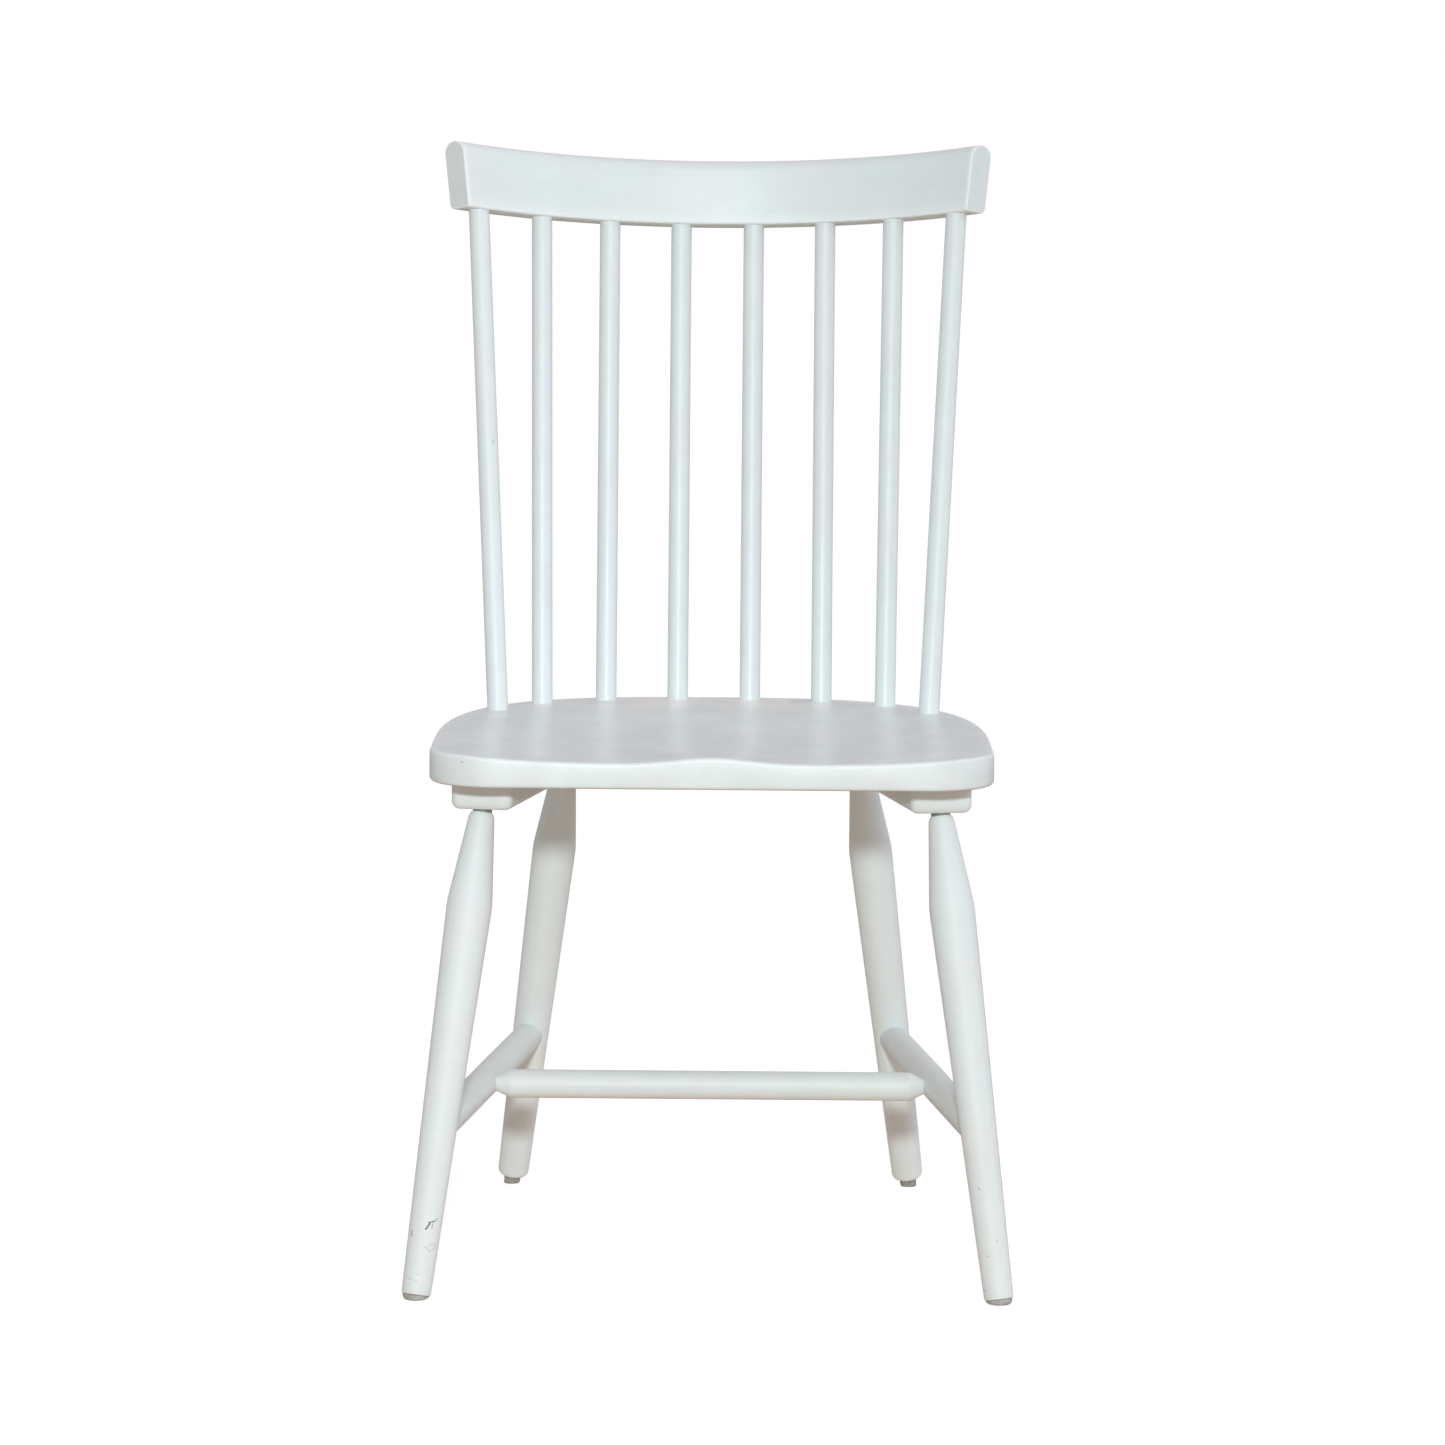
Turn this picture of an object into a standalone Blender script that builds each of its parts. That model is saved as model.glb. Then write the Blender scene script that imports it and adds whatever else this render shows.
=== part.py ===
"""Spindle back dining chair: a saddled seat on two bearers, four turned legs tied by an
H of stretchers, and eight round spindles that carry a bent crest rail.

Metres, +Z up. The chair faces -Y, and left is the side at -X. The origin is on the floor,
under the middle of the chair's box.
"""

import math

import bmesh
import bpy
from mathutils import Matrix, Vector

# Joints and fits
CLEARANCE = 0.0003
OVERRUN = 0.010

# Seat: a squared front, straight sides and a full round rear
SEAT_HEIGHT = 0.451
SEAT_WIDTH = 0.467
SEAT_DEPTH = 0.4384
SEAT_THICKNESS = 0.0266
SEAT_SQUARE_DEPTH = 0.1104
SEAT_CORNER_RADIUS = 0.056
SEAT_REAR_FULLNESS = 3.0
SEAT_TOP_EDGE_RADIUS = 0.0028
SEAT_BOTTOM_EDGE_RADIUS = 0.0040
SADDLE_DEPTH = 0.0085
SADDLE_RIM = 0.024
SADDLE_REAR_RIM = 0.070
SADDLE_FRONT_SHARE = 0.62
SADDLE_FLOOR_FRONT_SHARE = 0.36
SADDLE_FLOOR_REAR_SHARE = 0.58
POMMEL_HALF_WIDTH = 0.042
POMMEL_LENGTH = 0.150

# Feet on the floor: their depth, how far each splays out sideways from its leg's top,
# and how far the seat's front edge stands behind the front feet
FRONT_LEG_SPLAY = 0.0513
REAR_LEG_SPLAY = 0.0501
FEET_DEPTH = 0.490
SEAT_FRONT_SETBACK = 0.0046

# Leg tops, where the leg axes pass through the undersides of the bearers
FRONT_TOPS_SIDE_INSET = 0.0437
REAR_TOPS_SIDE_INSET = 0.1034
FRONT_TOPS_INSET = 0.0684
TOPS_DEPTH = 0.288

# Turned legs, measured down the axis from the bearer's underside
LEG_TENON_RADIUS = 0.0081
LEG_TENON_LENGTH = 0.0190
LEG_NECK_GAP = 0.0016
LEG_NECK_RADIUS = 0.0108
LEG_SHOULDER_ROUND = 0.0038
LEG_SWELL_RADIUS = 0.0190
LEG_SWELL_DROP = 0.080
LEG_SWELL_SOFTNESS = 0.0050
FRONT_FOOT_RADIUS = 0.0129
REAR_FOOT_RADIUS = 0.0137
FOOT_ROUND = 0.0040
FRONT_FOOT_STANDOFF = 0.0036
REAR_FOOT_STANDOFF = 0.0106

# Bearers that carry the legs under the seat
BEARER_WIDTH = 0.052
BEARER_THICKNESS = 0.0248
BEARER_EDGE_RADIUS = 0.0042
BEARER_FRONT_REACH = 0.0165
BEARER_REAR_REACH = 0.0250
BEARER_LEG_OFFSET = 0.0020

# Stretchers
SIDE_STRETCHER_FRONT_HEIGHT = 0.138
SIDE_STRETCHER_REAR_HEIGHT = 0.146
SIDE_STRETCHER_END_RADIUS = 0.0124
SIDE_STRETCHER_MIDDLE_RADIUS = 0.0132
SIDE_TENON_RADIUS = 0.0070
SIDE_TENON_PAST_AXIS = 0.0060
MIDDLE_STRETCHER_SHARE = 0.455
MIDDLE_STRETCHER_RADIUS = 0.01225
MIDDLE_TIP_RADIUS = 0.0060
MIDDLE_CONE_LENGTH = 0.0105
MIDDLE_TIP_STANDOFF = 0.0012
MIDDLE_TENON_PAST_AXIS = 0.0040

# Spindles and crest rail
SPINDLE_COUNT = 8
SPINDLE_RADIUS = 0.0091
SPINDLE_ROW_INSET = 0.0158
OUTER_SPINDLE_FOOT_SHARE = 0.806
SPINDLE_SEAT_DEPTH = 0.0165
SPINDLE_CREST_ENTRY = 0.0025
SPINDLE_TENON_RADIUS = 0.0065
SPINDLE_TENON_LENGTH = 0.0220
SPINDLE_END_CHAMFER = 0.0012
BACK_RISE = 0.4152
BACK_LEAN = math.radians(13.2)
CREST_RADIUS = 0.3302
CREST_SIDE_INSET = 0.0135
CREST_HEIGHT = 0.0588
CREST_THICKNESS = 0.0263
CREST_RAKE = math.radians(11.6)
CREST_TOP_ROUND = 0.0145
CREST_BOTTOM_EDGE_RADIUS = 0.0026
CREST_END_FLARE = math.radians(10.0)
CREST_END_MARGIN = 0.0232

# Glides nailed under the feet, each trimmed flat on the floor
FRONT_GLIDE_TOP_RADIUS = 0.0104
FRONT_GLIDE_BOTTOM_RADIUS = 0.0080
REAR_GLIDE_TOP_RADIUS = 0.0076
REAR_GLIDE_BOTTOM_RADIUS = 0.0072
NAIL_RADIUS = 0.0014
NAIL_LENGTH = 0.0170
NAIL_POINT_LENGTH = 0.0030
NAIL_HEAD_RADIUS = 0.0026
NAIL_HEAD_THICKNESS = 0.0008
NAIL_HEAD_DEPTH = 0.0018

# Bolts that hold the bearers up to the seat
BOLT_RADIUS = 0.0030
BOLT_LENGTH = 0.0380
BOLT_HEAD_RADIUS = 0.0053
BOLT_HEAD_HEIGHT = 0.0033
BOLT_HEAD_DOME = math.radians(60)
BOLT_KEY_RADIUS = 0.0023
BOLT_KEY_DEPTH = 0.0019
BOLT_FROM_LEG = 0.058
WASHER_RADIUS = 0.0080
WASHER_THICKNESS = 0.0014
INSERT_RADIUS = 0.0050
INSERT_LENGTH = 0.0130
INSERT_CHAMFER = 0.0008

# How finely round shapes are divided
LEG_SIDES = 20
SPINDLE_SIDES = 16
STRETCHER_SIDES = 20
SMALL_SIDES = 12
KEY_SIDES = 6
ROUND_STEPS = 3
SWELL_STEPS = 4
SEAT_REAR_STEPS = 36
SEAT_CORNER_STEPS = 6
SPINDLE_ROW_STEPS = 400
SEAT_EDGE_STEPS = 3
SADDLE_RING_SHARES = (0.955, 0.88, 0.78, 0.66, 0.50, 0.32, 0.15)
CREST_TOP_STEPS = 6
CREST_STEPS = 22
BARREL_STEPS = 6
SMOOTH_ANGLE = math.radians(35)
MERGE_DISTANCE = 0.00001

# Places that follow from the sizes above, in the plane of the feet's middle
SEAT_UNDERSIDE = SEAT_HEIGHT - SEAT_THICKNESS
BEARER_TOP = SEAT_UNDERSIDE - CLEARANCE
BEARER_UNDERSIDE = BEARER_TOP - BEARER_THICKNESS
FRONT_FEET_Y = -FEET_DEPTH / 2
SEAT_FRONT_Y = FRONT_FEET_Y + SEAT_FRONT_SETBACK
SEAT_CURVE_Y = SEAT_FRONT_Y + SEAT_SQUARE_DEPTH
SEAT_CURVE_DEPTH = SEAT_DEPTH - SEAT_SQUARE_DEPTH
FRONT_TOPS_X = SEAT_WIDTH / 2 - FRONT_TOPS_SIDE_INSET
REAR_TOPS_X = SEAT_WIDTH / 2 - REAR_TOPS_SIDE_INSET
FRONT_TOPS_Y = SEAT_FRONT_Y + FRONT_TOPS_INSET
SPINDLE_ROW_Y = SEAT_FRONT_Y + SEAT_DEPTH - SPINDLE_ROW_INSET
CREST_MIDDLE = Vector((0, SPINDLE_ROW_Y + BACK_RISE * math.tan(BACK_LEAN), SEAT_HEIGHT + BACK_RISE))
BOX_FRONT_Y = FRONT_FEET_Y - FRONT_FOOT_RADIUS
BOX_REAR_Y = (CREST_MIDDLE.y + math.cos(CREST_RAKE) * CREST_THICKNESS / 2
              + math.sin(CREST_RAKE) * (CREST_HEIGHT - CREST_TOP_ROUND / 2))
SIDES = {"left": -1, "right": 1}

for old in list(bpy.data.objects):
    bpy.data.objects.remove(old, do_unlink=True)

chair = bpy.data.collections.new("spindle_back_chair")
cutters = bpy.data.collections.new("cutters")
bpy.context.scene.collection.children.link(chair)
bpy.context.scene.collection.children.link(cutters)
stance = bpy.data.objects.new("stance", None)
stance.location.y = -(BOX_FRONT_Y + BOX_REAR_Y) / 2
chair.objects.link(stance)


def finish(name, color, roughness, metallic):
    """A plain Principled finish."""
    material = bpy.data.materials.new(name)
    material.use_nodes = True
    shader = material.node_tree.nodes["Principled BSDF"]
    shader.inputs["Base Color"].default_value = (*color, 1)
    shader.inputs["Roughness"].default_value = roughness
    shader.inputs["Metallic"].default_value = metallic
    material.diffuse_color = (*color, 1)
    return material


# Finishes: colour, roughness, metallic
PAINT = ((0.76, 0.79, 0.78), 0.42, 0)
GLIDE_GREY = ((0.24, 0.24, 0.22), 0.55, 0)
STEEL = ((0.55, 0.55, 0.56), 0.34, 1)
ZINC = ((0.62, 0.60, 0.52), 0.40, 1)


def add_part(name, mesh, look, matrix=None):
    """A visible piece of the chair, with its own finish, carried by the stance."""
    mesh.materials.append(finish(name, *look))
    part = bpy.data.objects.new(name, mesh)
    chair.objects.link(part)
    part.parent = stance
    part.matrix_local = matrix or Matrix()
    return part


def add_cutter(name, mesh, matrix=None):
    """A shape that only cuts its neighbours."""
    cutter = bpy.data.objects.new(name, mesh)
    cutters.objects.link(cutter)
    cutter.parent = stance
    cutter.matrix_local = matrix or Matrix()
    cutter.display_type = "WIRE"
    cutter.hide_render = True
    return cutter


def boolean(part, operand, operation="DIFFERENCE"):
    modifier = part.modifiers.new(f"{operation.lower()} {operand.name}", "BOOLEAN")
    modifier.operation = operation
    modifier.object = operand


def mesh_from(bm, name):
    """A shaded mesh from a bmesh, whose round faces look smooth."""
    bmesh.ops.recalc_face_normals(bm, faces=bm.faces)
    mesh = bpy.data.meshes.new(name)
    bm.to_mesh(mesh)
    bm.free()
    mesh.shade_smooth()
    mesh.set_sharp_from_angle(angle=SMOOTH_ANGLE)
    return mesh


def profile_mesh(name, profile, closed=False):
    """Profile points (distance down the axis, radius) as edges that a Screw can turn."""
    points = [(radius, 0, -distance) for distance, radius in profile]
    edges = [(i, i + 1) for i in range(len(points) - 1)]
    if closed:
        edges.append((len(points) - 1, 0))
    mesh = bpy.data.meshes.new(name)
    mesh.from_pydata(points, edges, [])
    return mesh


def turn(piece, sides):
    """The Screw modifier that turns a piece's profile about its own Z."""
    screw = piece.modifiers.new("turning", "SCREW")
    screw.axis = "Z"
    screw.angle = 2 * math.pi
    screw.steps = sides
    screw.render_steps = sides
    screw.use_merge_vertices = True
    screw.merge_threshold = MERGE_DISTANCE
    screw.use_smooth_shade = True


def along(start, end):
    """The matrix whose origin is start and whose -Z points to end."""
    turned = (start - end).to_track_quat("Z", "Y").to_matrix().to_4x4()
    return Matrix.Translation(start) @ turned


def grown(profile):
    """A closed turned profile, larger all round by the clearance."""
    first, last = profile[0][0], profile[-1][0]
    points = []
    for distance, radius in profile:
        if distance == first:
            distance -= CLEARANCE
        elif distance == last:
            distance += CLEARANCE
        points.append((distance, radius + CLEARANCE if radius else 0))
    return points


def arc(center, radius, start_angle, end_angle, steps=ROUND_STEPS):
    """Points of an arc in a plane, both ends included."""
    return [(center[0] + radius * math.cos(a), center[1] + radius * math.sin(a))
            for a in (start_angle + (end_angle - start_angle) * i / steps for i in range(steps + 1))]


# Seat

def seat_half_width(y):
    """Half the seat's width at a depth, before its front corners are rounded."""
    share = max(0.0, min(1.0, (y - SEAT_CURVE_Y) / SEAT_CURVE_DEPTH))
    return SEAT_WIDTH / 2 * (1 - share ** SEAT_REAR_FULLNESS) ** (1 / SEAT_REAR_FULLNESS)


def rear_curve(angle, inset=0.0):
    """A point on the seat's rear outline, or on a curve inside it, from +X round to -X."""
    power = 2 / SEAT_REAR_FULLNESS
    x = math.copysign(abs(math.cos(angle)) ** power, math.cos(angle)) * (SEAT_WIDTH / 2 - inset)
    y = SEAT_CURVE_Y + math.sin(angle) ** power * (SEAT_CURVE_DEPTH - inset)
    return Vector((x, y))


def seat_outline():
    """The seat's plan outline, counter-clockwise from the right end of the rear curve."""
    points = [rear_curve(math.pi * i / SEAT_REAR_STEPS) for i in range(SEAT_REAR_STEPS)]
    points.append(Vector((-SEAT_WIDTH / 2, SEAT_CURVE_Y)))
    corner_x = SEAT_WIDTH / 2 - SEAT_CORNER_RADIUS
    corner_y = SEAT_FRONT_Y + SEAT_CORNER_RADIUS
    quarter = math.pi / 2
    left = arc((-corner_x, corner_y), SEAT_CORNER_RADIUS, 2 * quarter, 3 * quarter, SEAT_CORNER_STEPS)
    right = arc((corner_x, corner_y), SEAT_CORNER_RADIUS, 3 * quarter, 4 * quarter, SEAT_CORNER_STEPS)
    front_steps = SEAT_REAR_STEPS // 2
    front = [(corner_x * (2 * i / front_steps - 1), SEAT_FRONT_Y) for i in range(1, front_steps)]
    return points + [Vector(p) for p in left + front + right]


def inset_outline(points, distance):
    """The outline moved inwards, square to itself."""
    moved = []
    for i, point in enumerate(points):
        tangent = (points[(i + 1) % len(points)] - points[i - 1]).normalized()
        moved.append(point + Vector((-tangent.y, tangent.x)) * distance)
    return moved


def smooth_step(value):
    value = max(0.0, min(1.0, value))
    return value * value * (3 - 2 * value)


def saddle_drop(point):
    """How far the seat's top lies below its rim: two thigh hollows beside a pommel."""
    rear_limit = SEAT_DEPTH - SADDLE_REAR_RIM
    depth = point.y - SEAT_FRONT_Y
    across = abs(point.x) / max(seat_half_width(point.y) - SADDLE_RIM, SADDLE_RIM)
    if across >= 1 or depth >= rear_limit:
        return 0.0
    front = SADDLE_FLOOR_FRONT_SHARE * rear_limit
    rear = SADDLE_FLOOR_REAR_SHARE * rear_limit
    rise = SADDLE_FRONT_SHARE + (1 - SADDLE_FRONT_SHARE) * smooth_step(depth / front)
    fall = 1 - smooth_step((depth - rear) / (rear_limit - rear))
    pommel = math.exp(-(point.x / POMMEL_HALF_WIDTH) ** 2) * (1 - smooth_step(depth / POMMEL_LENGTH))
    return SADDLE_DEPTH * (1 - across ** 4) ** 1.5 * rise * fall * (1 - pommel)


def seat_mesh():
    """Rings from the underside, round the edge and over the saddle to its middle."""
    outline = seat_outline()
    rings = []
    quarter = math.pi / 2
    for step in range(SEAT_EDGE_STEPS + 1):
        angle = quarter * step / SEAT_EDGE_STEPS
        inset = SEAT_BOTTOM_EDGE_RADIUS * (1 - math.sin(angle))
        height = SEAT_UNDERSIDE + SEAT_BOTTOM_EDGE_RADIUS * (1 - math.cos(angle))
        rings.append([(p.x, p.y, height) for p in inset_outline(outline, inset)])
    for step in range(SEAT_EDGE_STEPS + 1):
        angle = quarter * step / SEAT_EDGE_STEPS
        inset = SEAT_TOP_EDGE_RADIUS * (1 - math.cos(angle))
        drop = SEAT_TOP_EDGE_RADIUS * (1 - math.sin(angle))
        edge = inset_outline(outline, inset)
        rings.append([(p.x, p.y, SEAT_HEIGHT - saddle_drop(p) - drop) for p in edge])
    top = inset_outline(outline, SEAT_TOP_EDGE_RADIUS)
    middle = Vector((0, SEAT_FRONT_Y + SEAT_DEPTH / 2))
    for share in SADDLE_RING_SHARES:
        ring = [middle + (p - middle) * share for p in top]
        rings.append([(p.x, p.y, SEAT_HEIGHT - saddle_drop(p)) for p in ring])
    bm = bmesh.new()
    loops = [[bm.verts.new(p) for p in ring] for ring in rings]
    count = len(outline)
    for lower, upper in zip(loops, loops[1:]):
        for i in range(count):
            j = (i + 1) % count
            bm.faces.new((lower[i], lower[j], upper[j], upper[i]))
    bm.faces.new(reversed(loops[0]))
    peak = bm.verts.new((*middle, SEAT_HEIGHT - saddle_drop(middle)))
    for i in range(count):
        bm.faces.new((loops[-1][i], loops[-1][(i + 1) % count], peak))
    return mesh_from(bm, "seat")


# Crest rail

def crest_matrix():
    """The crest's own frame: its underside, mid thickness, leaning back."""
    return Matrix.Translation(CREST_MIDDLE) @ Matrix.Rotation(-CREST_RAKE, 4, "X")


def crest_end_angle():
    return math.asin((SEAT_WIDTH / 2 - CREST_SIDE_INSET) / CREST_RADIUS)


def crest_section():
    """The rail's cross-section (radius from the bend's centre, height), with a round top."""
    half = CREST_THICKNESS / 2
    middle = CREST_RADIUS + half
    edge = CREST_BOTTOM_EDGE_RADIUS
    quarter = math.pi / 2
    outer = arc((middle + half - edge, edge), edge, -quarter, 0)
    inner = arc((middle - half + edge, edge), edge, 2 * quarter, 3 * quarter)
    top = [(middle + half * math.cos(a), CREST_HEIGHT - CREST_TOP_ROUND + CREST_TOP_ROUND * math.sin(a))
           for a in (math.pi * i / CREST_TOP_STEPS for i in range(CREST_TOP_STEPS + 1))]
    return outer + top + inner


def crest_mesh():
    """The section swept along the bend, a little past both ends, which are then sawn."""
    reach = crest_end_angle() + (CREST_THICKNESS + CREST_HEIGHT) / CREST_RADIUS / 2
    center = Vector((0, -CREST_RADIUS - CREST_THICKNESS / 2, 0))
    bm = bmesh.new()
    turn_to_end = Matrix.Rotation(-reach, 4, "Z")
    ring = [bm.verts.new(center + turn_to_end @ Vector((0, radius, height)))
            for radius, height in crest_section()]
    edges = [bm.edges.new((ring[i - 1], ring[i])) for i in range(len(ring))]
    bmesh.ops.spin(bm, geom=ring + edges, cent=center, axis=(0, 0, 1), angle=2 * reach, steps=CREST_STEPS)
    bmesh.ops.holes_fill(bm, edges=[e for e in bm.edges if e.is_boundary])
    return mesh_from(bm, "crest_rail")


def box_mesh(name, size, center):
    bm = bmesh.new()
    bmesh.ops.create_cube(bm, size=1)
    bmesh.ops.scale(bm, vec=size, verts=bm.verts)
    bmesh.ops.translate(bm, vec=center, verts=bm.verts)
    return mesh_from(bm, name)


def saw_cut(side, sign):
    """A block that saws one end of the crest square to the bend and leaning outwards."""
    size = CREST_HEIGHT * 2 + CREST_THICKNESS
    mesh = box_mesh(f"{side}_end_cut", (size, size, size), (sign * size / 2, 0, 0))
    matrix = (crest_matrix() @ Matrix.Translation((0, -CREST_RADIUS - CREST_THICKNESS / 2, 0))
              @ Matrix.Rotation(-sign * crest_end_angle(), 4, "Z")
              @ Matrix.Translation((0, CREST_RADIUS + CREST_THICKNESS / 2, 0))
              @ Matrix.Rotation(sign * CREST_END_FLARE, 4, "Y"))
    return add_cutter(f"{side}_end_cut", mesh, matrix)


# Spindles

def spindle_feet():
    """Spindle places on the seat, equally spaced along a curve inside its rear outline."""
    points = [rear_curve(math.pi * i / SPINDLE_ROW_STEPS, SPINDLE_ROW_INSET)
              for i in range(SPINDLE_ROW_STEPS + 1)]
    outer = SEAT_WIDTH / 2 * OUTER_SPINDLE_FOOT_SHARE
    row = [p for p in points if abs(p.x) <= outer]
    lengths = [0.0]
    for a, b in zip(row, row[1:]):
        lengths.append(lengths[-1] + (b - a).length)
    feet = []
    for k in range(SPINDLE_COUNT):
        target = lengths[-1] * k / (SPINDLE_COUNT - 1)
        i = max(j for j in range(len(row) - 1) if lengths[j] <= target)
        share = (target - lengths[i]) / (lengths[i + 1] - lengths[i])
        feet.append(row[i].lerp(row[i + 1], share))
    return [Vector((p.x, p.y, SEAT_HEIGHT)) for p in reversed(feet)]


def spindle_tops():
    """Spindle places on the crest's underside, equally spaced along its middle line."""
    bend = CREST_RADIUS + CREST_THICKNESS / 2
    reach = crest_end_angle() - CREST_END_MARGIN / bend
    tops = []
    for k in range(SPINDLE_COUNT):
        angle = reach * (2 * k / (SPINDLE_COUNT - 1) - 1)
        place = Vector((bend * math.sin(angle), bend * math.cos(angle) - bend, 0))
        tops.append(crest_matrix() @ place)
    return tops


def spindle_profile(length):
    """Down from the tenon's end in the crest to the spindle's end in the seat."""
    shoulder = SPINDLE_TENON_LENGTH
    end = shoulder + SPINDLE_CREST_ENTRY + length + SPINDLE_SEAT_DEPTH
    return [(0, 0), (0, SPINDLE_TENON_RADIUS - SPINDLE_END_CHAMFER),
            (SPINDLE_END_CHAMFER, SPINDLE_TENON_RADIUS), (shoulder, SPINDLE_TENON_RADIUS),
            (shoulder, SPINDLE_RADIUS), (end - SPINDLE_END_CHAMFER, SPINDLE_RADIUS),
            (end, SPINDLE_RADIUS - SPINDLE_END_CHAMFER), (end, 0)]


def make_spindles(seat, crest):
    for k, (foot, top) in enumerate(zip(spindle_feet(), spindle_tops()), 1):
        up = (top - foot).normalized()
        profile = spindle_profile((top - foot).length)
        matrix = along(top + up * (SPINDLE_CREST_ENTRY + SPINDLE_TENON_LENGTH), foot)
        turn(add_part(f"spindle_{k}", profile_mesh(f"spindle_{k}", profile), PAINT, matrix), SPINDLE_SIDES)
        hole = profile_mesh("spindle_socket", socket_profile(profile))
        socket = add_cutter(f"spindle_{k}_socket", hole, matrix)
        turn(socket, SPINDLE_SIDES)
        boolean(seat, socket)
        boolean(crest, socket)


def socket_profile(profile):
    """The socket that a spindle fits: grown, with the shoulder's step moved out as well."""
    shoulder = SPINDLE_TENON_LENGTH
    points = []
    for distance, radius in grown(profile):
        if distance == shoulder:
            distance -= CLEARANCE
        points.append((distance, radius))
    return points


# Legs

def leg_ends(end, sign):
    """Where a leg's axis meets the bearer's underside and the floor."""
    if end == "front":
        top = Vector((sign * FRONT_TOPS_X, FRONT_TOPS_Y, BEARER_UNDERSIDE))
        return top, Vector((sign * (FRONT_TOPS_X + FRONT_LEG_SPLAY), FRONT_FEET_Y, 0))
    top = Vector((sign * REAR_TOPS_X, FRONT_TOPS_Y + TOPS_DEPTH, BEARER_UNDERSIDE))
    return top, Vector((sign * (REAR_TOPS_X + REAR_LEG_SPLAY), FRONT_FEET_Y + FEET_DEPTH, 0))


def leg_profile(top, floor, foot_radius, standoff):
    """Down from the tenon's end: neck, rounded shoulder, swell and a long taper to the foot."""
    axis = (floor - top).normalized()
    tilt = math.acos(-axis.z)
    neck = LEG_NECK_GAP + LEG_TENON_RADIUS * math.tan(tilt)
    shoulder = neck + LEG_SHOULDER_ROUND
    foot = (floor - top).length - standoff
    quarter = math.pi / 2
    points = [(-LEG_TENON_LENGTH, 0), (-LEG_TENON_LENGTH, LEG_TENON_RADIUS - SPINDLE_END_CHAMFER),
              (-LEG_TENON_LENGTH + SPINDLE_END_CHAMFER, LEG_TENON_RADIUS), (neck, LEG_TENON_RADIUS)]
    width = LEG_NECK_RADIUS + (LEG_SWELL_RADIUS - LEG_NECK_RADIUS) * shoulder / LEG_SWELL_DROP
    for step in range(1, ROUND_STEPS + 1):
        angle = quarter * step / ROUND_STEPS
        points.append((neck + LEG_SHOULDER_ROUND * (1 - math.cos(angle)),
                       LEG_TENON_RADIUS + (width - LEG_TENON_RADIUS) * math.sin(angle)))
    upper = (LEG_SWELL_RADIUS - LEG_NECK_RADIUS) / LEG_SWELL_DROP
    lower = (foot_radius - LEG_SWELL_RADIUS) / (foot - LEG_SWELL_DROP)
    for step in range(SWELL_STEPS + 1):
        blend = step / SWELL_STEPS
        offset = LEG_SWELL_SOFTNESS * (2 * blend - 1)
        fall = (upper - lower) * LEG_SWELL_SOFTNESS * blend * blend
        points.append((LEG_SWELL_DROP + offset, LEG_SWELL_RADIUS + upper * offset - fall))
    round_start = foot - FOOT_ROUND
    rim = foot_radius - lower * FOOT_ROUND
    for step in range(ROUND_STEPS + 1):
        angle = quarter * step / ROUND_STEPS
        points.append((round_start + FOOT_ROUND * math.sin(angle),
                       rim - FOOT_ROUND * (1 - math.cos(angle))))
    points.append((foot, 0))
    return [(distance + LEG_TENON_LENGTH, radius) for distance, radius in points]


def nail_profile():
    """Down from the nail's point to its head, which lies inside the glide."""
    shank = NAIL_LENGTH - NAIL_HEAD_THICKNESS
    return [(0, 0), (NAIL_POINT_LENGTH, NAIL_RADIUS), (shank, NAIL_RADIUS),
            (shank, NAIL_HEAD_RADIUS), (NAIL_LENGTH, NAIL_HEAD_RADIUS), (NAIL_LENGTH, 0)]


def nail_socket_profile():
    """The hole that the nail's shank and head fill, with the clearance all round."""
    shank = NAIL_LENGTH - NAIL_HEAD_THICKNESS
    return [(-CLEARANCE, 0), (NAIL_POINT_LENGTH, NAIL_RADIUS + CLEARANCE),
            (shank - CLEARANCE, NAIL_RADIUS + CLEARANCE),
            (shank - CLEARANCE, NAIL_HEAD_RADIUS + CLEARANCE),
            (NAIL_LENGTH + CLEARANCE, NAIL_HEAD_RADIUS + CLEARANCE), (NAIL_LENGTH + CLEARANCE, 0)]


def make_glide(name, leg, top, floor, standoff, top_radius, bottom_radius, floor_block):
    """A glide square to the leg, trimmed flat by the floor, and the nail that holds it."""
    axis = (floor - top).normalized()
    seat_end = floor - axis * (standoff - CLEARANCE)
    rim = bottom_radius * math.tan(math.acos(-axis.z))
    thickness = standoff - CLEARANCE + rim
    profile = [(0, 0), (0, top_radius), (thickness, bottom_radius), (thickness, 0)]
    matrix = along(seat_end, floor + axis)
    glide = add_part(f"{name}_glide", profile_mesh(f"{name}_glide", profile), GLIDE_GREY, matrix)
    turn(glide, LEG_SIDES)
    head_end = seat_end + axis * NAIL_HEAD_DEPTH
    nail_matrix = along(head_end - axis * NAIL_LENGTH, floor + axis)
    nail = add_part(f"{name}_glide_nail", profile_mesh("nail", nail_profile()), STEEL, nail_matrix)
    turn(nail, SMALL_SIDES)
    hole = profile_mesh("nail_socket", nail_socket_profile())
    socket = add_cutter(f"{name}_nail_socket", hole, nail_matrix)
    turn(socket, SMALL_SIDES)
    boolean(glide, floor_block)
    boolean(glide, socket)
    boolean(leg, socket)


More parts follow.
